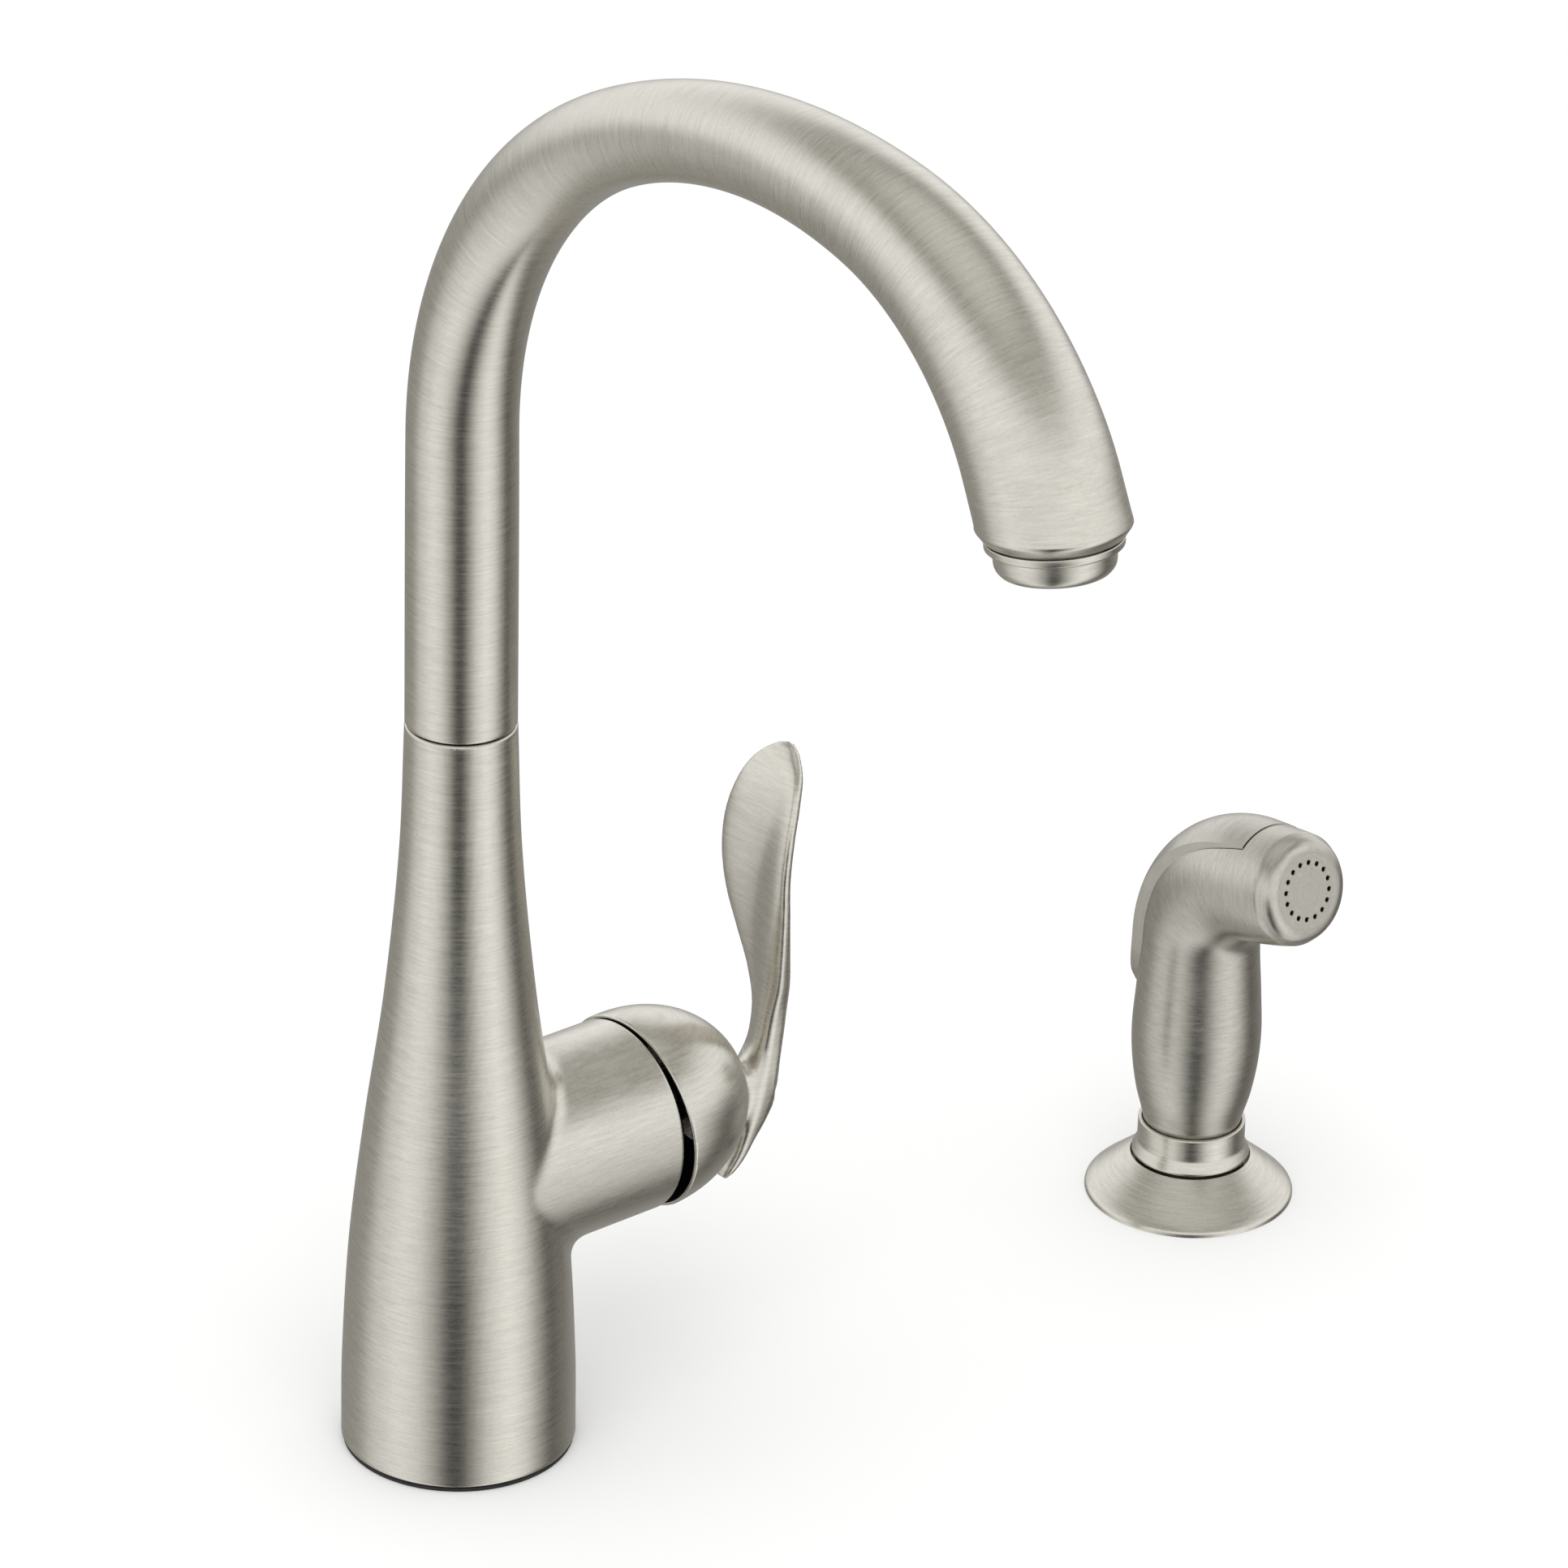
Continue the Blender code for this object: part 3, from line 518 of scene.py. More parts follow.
def brushed_metal(name, dark, light, rough, stroke, grain):
    """Fine strokes run round the piece: long along the brush's first two axes, thin along its third."""
    material, tree, shader = principled(name, 1.0)
    source = tree.nodes.new("ShaderNodeAttribute")
    source.attribute_name = "brush"
    brush = source.outputs["Vector"]
    strokes = noise(tree, scaled(tree, brush, stroke), 1.0, 4.0, 0.7)
    grains = noise(tree, scaled(tree, brush, grain), 1.0, 2.0)
    mix = tree.nodes.new("ShaderNodeMath")
    mix.operation = "MULTIPLY_ADD"
    mix.inputs[1].default_value = 0.35
    tree.links.new(grains, mix.inputs[0])
    tree.links.new(strokes, mix.inputs[2])
    texture = mix.outputs["Value"]
    tree.links.new(ramp(tree, texture, ((0.4, dark), (0.95, light))), shader.inputs["Base Color"])
    tree.links.new(ramp(tree, texture, ((0.35, rough[0]), (1.0, rough[1]))), shader.inputs["Roughness"])
    bump(tree, shader, texture, 0.35, 0.02)
    return material


def plain_metal(name, dark, light, rough):
    material, tree, shader = principled(name, 1.0)
    place = tree.nodes.new("ShaderNodeTexCoord").outputs["Object"]
    turning = noise(tree, scaled(tree, place, (400, 400, 2600)), 1.0, 3.0)
    tree.links.new(ramp(tree, turning, ((0.3, dark), (0.7, light))), shader.inputs["Base Color"])
    tree.links.new(ramp(tree, turning, ((0.3, rough[0]), (0.7, rough[1]))), shader.inputs["Roughness"])
    bump(tree, shader, turning, 0.3, 0.02)
    return material


def moulded(name, dark, light, rough, cell, depth, specular=0.4):
    """Rubber, plastic or ceramic with a fine matt texture."""
    material, tree, shader = principled(name, 0.0, specular)
    place = tree.nodes.new("ShaderNodeTexCoord").outputs["Object"]
    fine = noise(tree, place, cell, 3.0)
    broad = noise(tree, place, cell * 0.05, 2.0)
    tree.links.new(ramp(tree, broad, ((0.3, dark), (0.7, light))), shader.inputs["Base Color"])
    tree.links.new(ramp(tree, fine, ((0.3, rough[0]), (0.7, rough[1]))), shader.inputs["Roughness"])
    bump(tree, shader, fine, 0.4, depth)
    return material


NICKEL = brushed_metal(
    "brushed_nickel_finish", (0.50, 0.478, 0.425), (0.70, 0.67, 0.605), (0.24, 0.33),
    (0.14, 0.14, 2.0), (1.2, 1.2, 2.6),
)
SPRAY_NICKEL = brushed_metal(
    "spray_nickel_finish", (0.40, 0.383, 0.34), (0.60, 0.575, 0.52), (0.28, 0.38),
    (0.25, 0.25, 2.0), (1.8, 1.8, 2.4),
)
RUBBER = moulded("black_rubber", (0.012, 0.012, 0.012), (0.022, 0.021, 0.02), (0.6, 0.8), 2400, 0.03)
PLASTIC = moulded(
    "black_moulded_plastic", (0.003, 0.003, 0.003), (0.006, 0.006, 0.006), (0.6, 0.8), 1800, 0.02,
    specular=0.12,
)
CERAMIC = moulded("polished_ceramic", (0.78, 0.77, 0.73), (0.85, 0.84, 0.8), (0.12, 0.22), 3000, 0.004)
BRASS = plain_metal("turned_brass", (0.66, 0.49, 0.22), (0.76, 0.59, 0.3), (0.25, 0.4))
COPPER = plain_metal("drawn_copper", (0.66, 0.36, 0.24), (0.78, 0.47, 0.33), (0.22, 0.38))
STEEL = plain_metal("stainless_steel", (0.5, 0.5, 0.5), (0.62, 0.62, 0.61), (0.25, 0.4))

SLOT_FINISHES = {
    "brushed_nickel": NICKEL, "nickel_plated_plastic": SPRAY_NICKEL, "rubber": RUBBER, "brass": BRASS,
    "copper": COPPER, "steel": STEEL, "ceramic": CERAMIC, "black_plastic": PLASTIC,
}
for part in frame["record"]["subparts"]:
    node = frame["nodes"][part["node"]]
    node.data.materials.clear()
    node.data.materials.append(SLOT_FINISHES[part["material_slot"]])


# Faucet body: a flared column with a side arm, blended into each other.


COLUMN_HEIGHTS = np.linspace(-12, 190, 1600)
COLUMN_RADII = np.array([smooth_value(BODY_OUTLINE, z) for z in COLUMN_HEIGHTS])


def body_distance(points):
    """The fillet fades out where the column's skin and the arm's run the same way."""
    x, y, z = points.T
    from_column = np.hypot(x, y)
    from_arm = np.hypot(y, z - ARM_Z)
    column = from_column - np.interp(z, COLUMN_HEIGHTS, COLUMN_RADII)
    arm = from_arm - ARM_RADIUS
    arm = np.where(x < 0, np.hypot(np.maximum(arm, 0), x), arm)
    alike = y * y / np.maximum(from_column * from_arm, 1e-6)
    return smooth_min(column, arm, BODY_FILLET * np.clip(1 - alike, 0.02, 1))


def make_body():
    low, high = BODY_BLANK_ENDS
    outline = [(smooth_value(BODY_OUTLINE, z), z) for z in steps(low, high, 60)]
    arm = (0, 0, ARM_Z)
    blanks = [
        turned("column_blank", [(0, low)] + outline + [(0, high)], sides=96),
        rod("arm_blank", ARM_RADIUS, 0, ARM_BLANK_END, arm, X, 96),
    ]
    body = remeshed("faucet_column", blanks, BODY_VOXEL)
    settle(body, body_distance)
    bm = bmesh.new()
    bm.from_mesh(body.data)
    for place, axis in (((0, 0, BODY_FOOT), -Z), ((0, 0, BODY_TOP), Z), ((ARM_END, 0, ARM_Z), X)):
        trim(bm, place, axis)
    bmesh.ops.recalc_face_normals(bm, faces=bm.faces[:])
    bm.to_mesh(body.data)
    bm.free()
    inside = [
        (max(smooth_value(BODY_OUTLINE, z) - BODY_WALL, NECK_BORE), z) for z in steps(-1, NECK_BORE_START, 12)
    ]
    top = BODY_TOP + 5
    neck = [(NECK_BORE, NECK_BORE_START), (NECK_BORE, top), (0, top)]
    tools = [
        turned("hollow", [(0, -1)] + inside + neck, sides=72),
        rod("bore", ARM_BORE, *ARM_BORE_ENDS, arm, X, 72),
        rod("recess", RING_RECESS_RADIUS, RING_RECESS_Z, top),
    ]
    combine(body, tools)
    level_brush(body)
    place_piece(body, NICKEL, "faucet_body", "brushed_nickel", "body_shell")

    gasket = turned("base_seal", softened(((17, 0, 0), (25.6, 0, 0.2), (25.6, 0.9, 0.3), (17, 0.9, 0))))
    place_piece(gasket, RUBBER, "faucet_body", "rubber", "base_gasket")


# Handle: a dome, a stalk and a leaf-shaped blade, blended into each other.


def handle_frame():
    tilt = Matrix.Rotation(math.radians(-HANDLE_REST_TILT), 4, "Y")
    return Matrix.Translation((PIVOT_X, 0, ARM_Z)) @ tilt


DOME_CENTRE = handle_frame() @ Vector((DOME_OFFSET, 0, -DOME_DROP))
DOME_AXIS = handle_frame().to_3x3() @ X


def blade_table(count=120):
    """Blade stations by even steps: x, z, half width, half thickness, dish depth and dish place."""
    lengths = [0.0]
    for before, after in zip(BLADE, BLADE[1:]):
        lengths.append(lengths[-1] + math.hypot(after[0] - before[0], after[1] - before[1]))
    rows = [(length, *station) for length, station in zip(lengths, BLADE)]
    table = []
    for at in steps(0, lengths[-1], count):
        x, z, width, thickness, depth = [smooth_value(rows, at, column) for column in range(1, 6)]
        table.append((x, z, width, thickness, depth, smooth_value(DISH_PLACE, z)))
    table = np.array(table)
    along = np.gradient(table[:, :2], axis=0)
    along /= np.linalg.norm(along, axis=1)[:, None]
    return table, along


BLADE_TABLE, BLADE_ALONG = blade_table()


def dish(across, depth, deepest):
    """How far the blade's section is pushed back, at a place from -1 to 1 across it."""
    aside = across - deepest
    return depth * np.exp(-(aside / np.where(aside > 0, *DISH_REACH)) ** 2)


def blade_distance(points):
    """Roughly how far points are from the blade's skin, from the station each is nearest to."""
    x, y, z = points.T
    offsets = np.stack([x, z], 1)[:, None, :] - BLADE_TABLE[None, :, :2]
    nearest = np.argmin((offsets ** 2).sum(2), 1)
    middle, along = BLADE_TABLE[nearest, :2], BLADE_ALONG[nearest]
    here = np.stack([x, z], 1) - middle
    ahead = (here * along).sum(1)
    step = np.hypot(*(BLADE_TABLE[1, :2] - BLADE_TABLE[0, :2]))
    last = len(BLADE_TABLE) - 1
    place = np.clip(nearest + ahead / step, 0, last)
    width, thickness, depth, deepest = [
        np.interp(place, np.arange(last + 1), BLADE_TABLE[:, column]) for column in range(2, 6)
    ]
    past = np.clip(np.abs(nearest + ahead / step - place) * step, 0, None)
    out = here[:, 0] * along[:, 1] - here[:, 1] * along[:, 0]
    across = np.abs(y / width)
    through = np.abs((out - dish(y / width, depth, deepest)) / thickness)
    size = (across ** BLADE_POWER + through ** BLADE_POWER + 1e-9) ** (1 / BLADE_POWER)
    return np.hypot((size - 1) * thickness, past) * np.sign(size - 1 + past)


def dome_distance(points):
    out = (points - np.array(DOME_CENTRE)) @ np.array(DOME_AXIS)
    radial = np.linalg.norm(points - np.array(DOME_CENTRE) - out[:, None] * np.array(DOME_AXIS), axis=1)
    size = (
        np.abs(radial / DOME_RADIUS) ** DOME_POWER + np.clip(out / DOME_LENGTH, 0, None) ** DOME_POWER + 1e-9
    ) ** (1 / DOME_POWER)
    return (size - 1) * DOME_RADIUS


def stalk_distance(points):
    x, y, z = points.T
    xs = [row[0] for row in STALK_HALVES]
    width = np.interp(x, xs, [row[1] for row in STALK_HALVES])
    height = np.interp(x, xs, [row[2] for row in STALK_HALVES])
    size = np.hypot(y / width, (z - STALK_Z) / height)
    side = (size - 1) * width
    return np.maximum(side, np.maximum(STALK_START - x, x - STALK_END))


def handle_distance(points):
    """Only the points past the dome's crown are near the lever."""
    distance = dome_distance(points)
    near = points[:, 0] > STALK_START - HANDLE_FILLET
    lever = smooth_min(blade_distance(points[near]), stalk_distance(points[near]), HANDLE_FILLET)
    distance[near] = smooth_min(distance[near], lever, HANDLE_FILLET)
    return distance


def blade_blank():
    rings, strokes = [], []
    for station, along in zip(BLADE_TABLE[::2].tolist(), BLADE_ALONG[::2].tolist()):
        x, z, width, thickness, depth, deepest = station
        out = Vector((along[1], 0, -along[0]))
        ring = []
        for i in range(BLADE_BLANK_SIDES):
            a = math.tau * i / BLADE_BLANK_SIDES
            back = thickness * math.sin(a) + float(dish(math.cos(a), depth, deepest))
            ring.append(Vector((x, 0, z)) + width * math.cos(a) * Y + back * out)
        rings.append(ring)
        strokes.append([(0, 0, 0)] * BLADE_BLANK_SIDES)
    return skin("blade_blank", rings, strokes, wrap=False)


def quarter(radius, length, share, count):
    """The dome's profile, from its rim to a share of the way round to its crown."""
    points = []
    for f in steps(0, share, count):
        s, c = math.sin(f * math.pi / 2), math.cos(f * math.pi / 2)
        points.append((radius * c ** (2 / DOME_POWER), length * s ** (2 / DOME_POWER)))
    return points


def make_handle():
    dome_profile = [(0, -5), (DOME_RADIUS, -5)] + quarter(DOME_RADIUS, DOME_LENGTH, 0.98, 24)
    stalk_middle = (STALK_START + STALK_END) / 2
    stalk_length = STALK_END - STALK_START
    stalk = rod("stalk_blank", STALK_BLANK_RADIUS, -1, 1, sides=32)
    stalk.data.transform(
        Matrix.Translation(Vector((stalk_middle, 0, STALK_Z)) * MM)
        @ Matrix.Diagonal((stalk_length / (2 * STALK_BLANK_RADIUS), 1.1, stalk_length / 2 * 0.9, 1))
    )
    blanks = [
        turned("dome_blank", dome_profile + [(0, DOME_LENGTH)], DOME_CENTRE, DOME_AXIS, 96),
        blade_blank(),
        stalk,
    ]
    handle = remeshed("handle_lever", blanks, HANDLE_VOXEL)
    settle(handle, handle_distance, 4)
    bm = bmesh.new()
    bm.from_mesh(handle.data)
    trim(bm, DOME_CENTRE, -DOME_AXIS)
    bmesh.ops.recalc_face_normals(bm, faces=bm.faces[:])
    bm.to_mesh(handle.data)
    bm.free()
    inner = quarter(DOME_RADIUS - DOME_WALL, DOME_LENGTH - DOME_TOP_WALL, 0.8, 12)[3:]
    rim_radius = DOME_RADIUS - RIM_WALL
    rim = [(rim_radius, 0.3), (DOME_RADIUS - DOME_WALL, 1.8)]
    hollow = [(BOSS_RADIUS, -1), (rim_radius, -1)] + rim + inner + [(BOSS_RADIUS, inner[-1][1])]
    screw_place = handle_frame() @ Vector((DOME_OFFSET + SCREW_HOLE_OFFSET, 0, 0))
    screw_axis = handle_frame().to_3x3() @ -Z
    tools = [
        turned("dome_hollow", hollow, DOME_CENTRE, DOME_AXIS, 96),
        rod("boss_trim", BOSS_CLEARANCE_RADIUS, -1, BOSS_CLEARANCE_DEPTH, DOME_CENTRE, DOME_AXIS, 48),
        rod("stem_hole", STEM_HOLE_RADIUS, STEM_HOLE_START, STEM_HOLE_DEPTH, DOME_CENTRE, DOME_AXIS, 48),
        rod("screw_hole", SCREW_HOLE_RADIUS, 1, SCREW_HOLE_LENGTH, screw_place, screw_axis, 32),
    ]
    combine(handle, tools)
    level_brush(handle)
    place_piece(handle, NICKEL, "handle", "brushed_nickel", "lever_handle")
    # A thin black sheet lining the dome's rim and the start of its inside: painted shade, standing in for the
    # shade in the gap between the dome and the body.
    outside = [(radius - SHADE_LINER_GAP, out) for radius, out in rim + inner[:5]]
    inside = [(radius - SHADE_LINER_WALL, out) for radius, out in reversed(outside)]
    shade_liner = turned("dome_painted_shade_liner", outside + inside, DOME_CENTRE, DOME_AXIS, 96)
    place_piece(shade_liner, PLASTIC, "handle", "black_plastic")


# Spout


def spout_station(length):
    """Centre and turn of the spout's centreline at a length past the bend's start."""
    point, turn = Vector((0, 0, BEND_START_Z)), 0.0
    if length <= 0:
        return point + length * Z, turn
    for radius, degrees in BENDS:
        step = min(math.radians(degrees), length / radius)
        point = point + 2 * radius * math.sin(step / 2) * direction(turn + step / 2)
        turn += step
        length -= radius * step
        if length < 1e-9:
            return point, turn
    return point + length * direction(turn), turn


SPOUT_LENGTH = sum(radius * math.radians(degrees) for radius, degrees in BENDS) + TIP_LENGTH
OUTLET_CENTRE = spout_station(SPOUT_LENGTH)[0]
OUTLET_AXIS = direction(OUTLET_TURN)


def make_spout():
    """The gooseneck; over its last stretch, its sections turn to face the way the outlet does."""
    start = SEAM_Z - BEND_START_Z
    lengths = [(start + ahead, edge) for ahead, edge in SEAM_EDGE]
    lengths += [(length, 0) for length in steps(start + 1, SPOUT_LENGTH, SPOUT_RINGS)]
    outer, inner = [], []
    for length, edge in lengths:
        centre, turn = spout_station(length)
        t = min(max((length - SPOUT_LENGTH + OUTLET_TURN_LENGTH) / OUTLET_TURN_LENGTH, 0), 1)
        turn += (OUTLET_TURN - turn) * t * t * (3 - 2 * t)
        radius = smooth_value(SPOUT_RADII, length)
        outer.append((centre, turn, radius - edge, length))
        if length <= SPOUT_LENGTH - OUTLET_THROAT:
            inner.append((centre, turn, radius - SPOUT_WALL, length))
    for down, radius in OUTLET_EDGE:
        outer.append((OUTLET_CENTRE + down * OUTLET_AXIS, OUTLET_TURN, radius, SPOUT_LENGTH + down))
    for down in (OUTLET_LIP, 0, -OUTLET_BORE_DEPTH):
        inner.append((OUTLET_CENTRE + down * OUTLET_AXIS, OUTLET_TURN, OUTLET_BORE, SPOUT_LENGTH + down))
    inner.sort(key=lambda station: -station[3])
    spout = tube("gooseneck_spout", outer + inner, wrap=True)
    place_piece(spout, NICKEL, "spout", "brushed_nickel", "spout_tube")


def make_outlet():
    housing = turned(
        "aerator_cup",
        softened((
            (12.1, -6.8, 0), (12.1, 3.0, 0), (13.5, 3.0, 0.25), (13.5, 4.5, 0.35), (12.3, 4.9, 0.15),
            (11.9, 5.2, 0), (11.9, 8.2, 1.6), (10.6, 9.7, 0.5), (9.9, 9.5, 0.15), (9.8, 8.8, 0),
            (9.8, -6.8, 0),
        )),
        OUTLET_CENTRE, OUTLET_AXIS,
    )
    place_piece(housing, NICKEL, "spout", "brushed_nickel", "aerator_housing")
    profile = [(0, -5.5), (9.5, -5.5), (9.5, 8.2)]
    for radius in steps(9.0, 1.0, AERATOR_RIBS):
        rib = 7.6 if round(radius * 2) % 2 else 7.0
        profile += [(radius + 0.14, rib), (radius - 0.14, rib)]
    insert = turned("aerator_rings", profile + [(0, 7.6)], OUTLET_CENTRE, OUTLET_AXIS, 96)
    place_piece(insert, PLASTIC, "spout", "black_plastic", "aerator_insert")


# Side sprayer


def head_station(length):
    """Centre and turn along the grip and head, by length from the deck."""
    turn = min(max(length - HEAD_BEND_Z, 0) / HEAD_BEND_RADIUS, HEAD_BEND)
    centre = Vector((0, -HEAD_BEND_RADIUS * (1 - math.cos(turn)), HEAD_BEND_RADIUS * math.sin(turn)))
    centre += direction(turn) * max(length - HEAD_BEND_Z - HEAD_BEND_RADIUS * HEAD_BEND, 0)
    return SPRAY_CENTRE + Z * min(length, HEAD_BEND_Z) + centre, turn


NOZZLE_END, NOZZLE_TURN = head_station(HEAD_LENGTH)
NOZZLE_AXIS = direction(NOZZLE_TURN)


def head_solid(name, rise):
    """The grip and head as one solid, its skin lifted by a function of the length."""
    stations = []
    for length in steps(10, HEAD_LENGTH - MOUTH_ROUND, 110):
        centre, turn = head_station(length)
        stations.append((centre, turn, smooth_value(GRIP_RADII, length) + rise(length), length))
    last = smooth_value(GRIP_RADII, HEAD_LENGTH)
    for a in steps(0, 90, 6)[1:]:
        back = MOUTH_ROUND * (1 - math.sin(math.radians(a)))
        radius = last - MOUTH_ROUND * (1 - math.cos(math.radians(a)))
        centre, turn = head_station(HEAD_LENGTH - back)
        stations.append((centre, turn, radius + rise(HEAD_LENGTH), HEAD_LENGTH - back))
    return tube(name, stations, wrap=False)


def trigger_strip(name, spare, low, high, swing=0.0):
    """A strip along the back of the head, swung in by some degrees.

    low and high give its heights over the centreline, by the head's radius, x and length.
    """
    place = (
        Matrix.Translation(PIN_PLACE) @ Matrix.Rotation(math.radians(-swing), 4, "X")
        @ Matrix.Translation(-PIN_PLACE)
    )
    rings, strokes = [], []
    for length in steps(TRIGGER_ENDS[0] - spare, TRIGGER_ENDS[1] + spare, 40):
        centre, turn = head_station(length)
        out = Vector((0, math.cos(turn), math.sin(turn)))
        radius = smooth_value(GRIP_RADII, length)
        half = smooth_value(TRIGGER_WIDTHS, length) + spare
        across = steps(-half, half, 12)
        top = [place @ (centre + x * X + high(radius, x, length) * out) for x in across]
        bottom = [place @ (centre + x * X + low(radius, x, length) * out) for x in reversed(across)]
        rings.append(top + bottom)
        strokes.append([(x, 0, length) for x in across + across[::-1]])
    return skin(name, rings, strokes, wrap=False)


def depth_at(radius, x, depth):
    return math.sqrt(max((radius - depth) ** 2 - x * x, 1))


def trigger_underside(radius, x, length):
    return depth_at(radius, x, TRIGGER_WALL)


def past_the_skin(radius, x, length):
    return radius + CLEAR_OF_SKIN


def pocket_floor(radius, x, length):
    return depth_at(radius, x, TRIGGER_WALL) - POCKET_DEPTH


def swing_floor(radius, x, length):
    return depth_at(radius, x, TRIGGER_WALL) - SWING_CLEARANCE


def swing_top(radius, x, length):
    return depth_at(radius, x, -SWING_CLEARANCE - smooth_value(TRIGGER_RISE, length))


def make_sprayer():
    body = head_solid("sprayer_shell", lambda length: 0)
    tools = [trigger_strip("pocket", TRIGGER_SEAM, pocket_floor, past_the_skin)]
    for step in (1, 2, 3):
        spare, swing = TRIGGER_SEAM + 0.01 * step, TRIGGER_PRESS * step / 3
        tools.append(trigger_strip(f"swing_room_{step}", spare, swing_floor, swing_top, swing))
    tools += [
        rod("grip_bore", 6.3, 5, 33, SPRAY_CENTRE, Z, 48),
        rod("nozzle_bore", 8, -NOZZLE_LENGTH, 5, NOZZLE_END, NOZZLE_AXIS, 48),
        rod("face_seat", FACE_RADIUS, -3, 5, NOZZLE_END, NOZZLE_AXIS),
    ]
    combine(body, tools)
    place_piece(body, SPRAY_NICKEL, "sprayer", "nickel_plated_plastic", "spray_body")

    trigger = head_solid("thumb_trigger", lambda length: smooth_value(TRIGGER_RISE, length))
    blank = trigger_strip("trigger_blank", 0, trigger_underside, past_the_skin)
    combine(trigger, [blank], "INTERSECT")
    place_piece(trigger, SPRAY_NICKEL, "thumb_lever", "nickel_plated_plastic", "spray_trigger")

    disc_radius = FACE_RADIUS - 0.015
    face = turned(
        "sprayer_face",
        softened(((0, -2.7, 0), (disc_radius, -2.7, 0), (disc_radius, 0, 0), (0, 0, 0))),
        NOZZLE_END, NOZZLE_AXIS,
    )
    place = frame_at(NOZZLE_END, NOZZLE_AXIS)
    holes = []
    for index in range(HOLE_COUNT):
        a = math.tau * (index + 0.5) / HOLE_COUNT
        foot = place @ Vector((HOLE_CIRCLE * math.cos(a), HOLE_CIRCLE * math.sin(a), 0))
        holes.append(turned(
            f"hole_{index}",
            [(0, -4), (HOLE_RADIUS, -4), (HOLE_RADIUS, -0.15), (HOLE_RIM, 0.03), (HOLE_RIM, 1), (0, 1)],
            foot, NOZZLE_AXIS, 20,
        ))
    combine(face, holes)
    place_piece(face, SPRAY_NICKEL, "sprayer", "nickel_plated_plastic", "spray_face")


def make_sprayer_seat():
    escutcheon = turned(
        "deck_flange",
        softened((
            (24.5, 0, 0), (24.5, 1.0, 0.6), (23.4, 2.2, 1.0), (14.1, 9.9, 0.3), (14.1, 1.4, 0),
            (22.9, 1.4, 0), (22.9, 0, 0),
        )),
        SPRAY_CENTRE,
    )
    place_piece(escutcheon, NICKEL, "faucet_body", "brushed_nickel", "spray_escutcheon")
    guide = turned(
        "hose_collar",
        softened((
            (13.75, 10.25, 0.2), (13.9, 10.8, 0.3), (12.65, 13.4, 0.5), (12.6, 19.1, 0.55),
            (11.65, 19.0, 0.3), (11.65, 9.4, 0), (8.6, 9.4, 0), (8.6, -44, 0), (12.8, -44, 0),
            (12.8, 10.2, 0),
        )),
        SPRAY_CENTRE,
    )
    place_piece(guide, NICKEL, "faucet_body", "brushed_nickel", "hose_guide")


# Studio


def tinted(strength):
    """A panel's colour: warmer where it is darker."""
    return tuple((w + (c - w) * min(strength, 1)) * strength for w, c in zip(WARM, COOL))


def by_identifier(sockets, identifier):
    return next(socket for socket in sockets if socket.identifier == identifier)


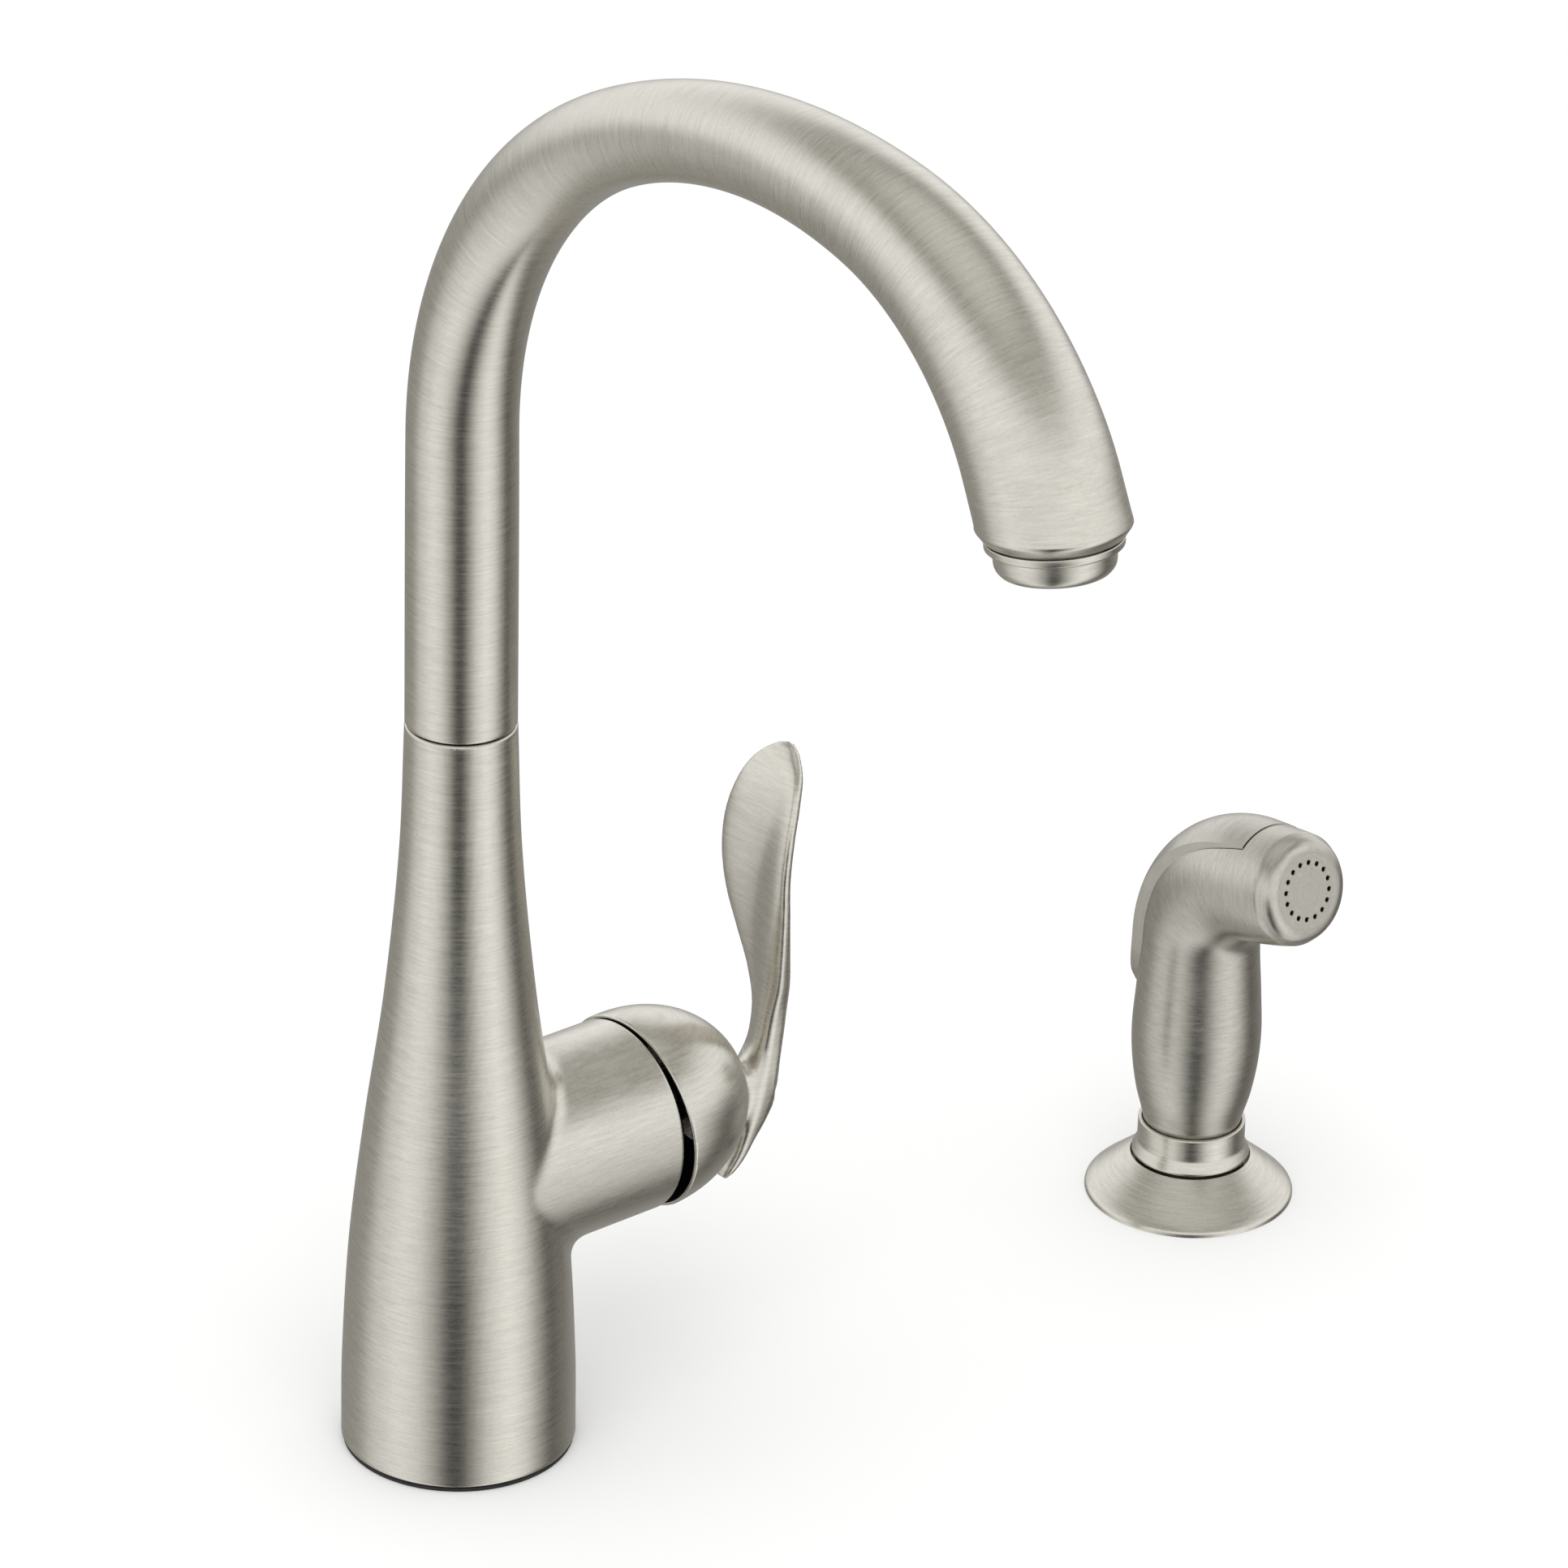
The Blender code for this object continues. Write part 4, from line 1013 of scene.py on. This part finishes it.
def make_world():
    """White to the eye and on the floor, with soft dark panels for the metal to reflect."""
    world = bpy.data.worlds.new("studio")
    bpy.context.scene.world = world
    world.use_nodes = True
    tree = world.node_tree
    links, nodes = tree.links, tree.nodes
    nodes.clear()
    place = nodes.new("ShaderNodeTexCoord").outputs["Generated"]
    turn = nodes.new("ShaderNodeVectorRotate")
    turn.rotation_type = "Z_AXIS"
    turn.inputs["Angle"].default_value = WORLD_TURN
    links.new(place, turn.inputs["Vector"])
    split = nodes.new("ShaderNodeSeparateXYZ")
    links.new(turn.outputs["Vector"], split.inputs["Vector"])
    bearing = nodes.new("ShaderNodeMath")
    bearing.operation = "ARCTAN2"
    links.new(split.outputs["Y"], bearing.inputs[0])
    links.new(split.outputs["X"], bearing.inputs[1])
    share = nodes.new("ShaderNodeMapRange")
    share.inputs["From Min"].default_value = -math.pi
    share.inputs["From Max"].default_value = math.pi
    links.new(bearing.outputs["Value"], share.inputs["Value"])
    panels = [((degrees + 180) / 360, tinted(strength)) for degrees, strength in PANELS]
    bands = ramp(tree, share.outputs["Result"], panels, "EASE")
    height = nodes.new("ShaderNodeMapRange")
    height.interpolation_type = "SMOOTHSTEP"
    height.inputs["From Min"].default_value = SKY_RISE[0]
    height.inputs["From Max"].default_value = SKY_RISE[1]
    links.new(split.outputs["Z"], height.inputs["Value"])
    above = ramp(tree, split.outputs["Z"], [(z, tinted(strength)) for z, strength in SKY], "EASE")
    sky = nodes.new("ShaderNodeMix")
    sky.data_type = "RGBA"
    links.new(height.outputs["Result"], sky.inputs["Factor"])
    links.new(bands, by_identifier(sky.inputs, "A_Color"))
    links.new(above, by_identifier(sky.inputs, "B_Color"))
    rays = nodes.new("ShaderNodeLightPath")
    glossy = nodes.new("ShaderNodeBackground")
    links.new(by_identifier(sky.outputs, "Result_Color"), glossy.inputs["Color"])
    white = nodes.new("ShaderNodeBackground")
    white.inputs["Color"].default_value = (1, 1, 1, 1)
    white.inputs["Strength"].default_value = 1.0
    pick = nodes.new("ShaderNodeMixShader")
    links.new(rays.outputs["Is Glossy Ray"], pick.inputs["Fac"])
    links.new(white.outputs["Background"], pick.inputs[1])
    links.new(glossy.outputs["Background"], pick.inputs[2])
    links.new(pick.outputs["Shader"], nodes.new("ShaderNodeOutputWorld").inputs["Surface"])


def make_studio():
    floor_mesh = bpy.data.meshes.new("floor")
    half = FLOOR_HALF
    corners = [(-half, -half, 0), (half, -half, 0), (half, half, 0), (-half, half, 0)]
    floor_mesh.from_pydata(corners, [], [(0, 1, 2, 3)])
    floor = new_object("floor", floor_mesh)
    paper = moulded("pale_floor", (0.93, 0.93, 0.925), (0.94, 0.94, 0.935), (0.9, 0.95), 200, 0.01)
    floor_mesh.materials.append(paper)
    floor.visible_glossy = False

    light = bpy.data.lights.new("soft_panel", "AREA")
    light.shape = "DISK"
    light.size = LAMP_SIZE
    light.energy = LAMP_POWER
    lamp = bpy.data.objects.new("soft_panel", light)
    bpy.context.collection.objects.link(lamp)
    lamp.location = LAMP_PLACE
    lamp.rotation_euler = (LAMP_AIM - lamp.location).to_track_quat("-Z", "Y").to_euler()
    lamp.visible_glossy = False

    camera = bpy.data.cameras.new("camera")
    camera.lens = CAMERA_LENS
    camera.sensor_width = 36
    camera.clip_start, camera.clip_end = 0.05, 50
    eye = bpy.data.objects.new("camera", camera)
    bpy.context.collection.objects.link(eye)
    eye.location = CAMERA_PLACE
    eye.rotation_mode = "QUATERNION"
    roll = Matrix.Rotation(CAMERA_ROLL, 3, "Z").to_quaternion()
    eye.rotation_quaternion = CAMERA_LOOK.to_track_quat("-Z", "Y") @ roll
    bpy.context.scene.camera = eye
    bpy.context.scene.view_settings.view_transform = "Standard"


make_body()
make_handle()
make_spout()
make_outlet()
make_sprayer()
make_sprayer_seat()
make_world()
make_studio()
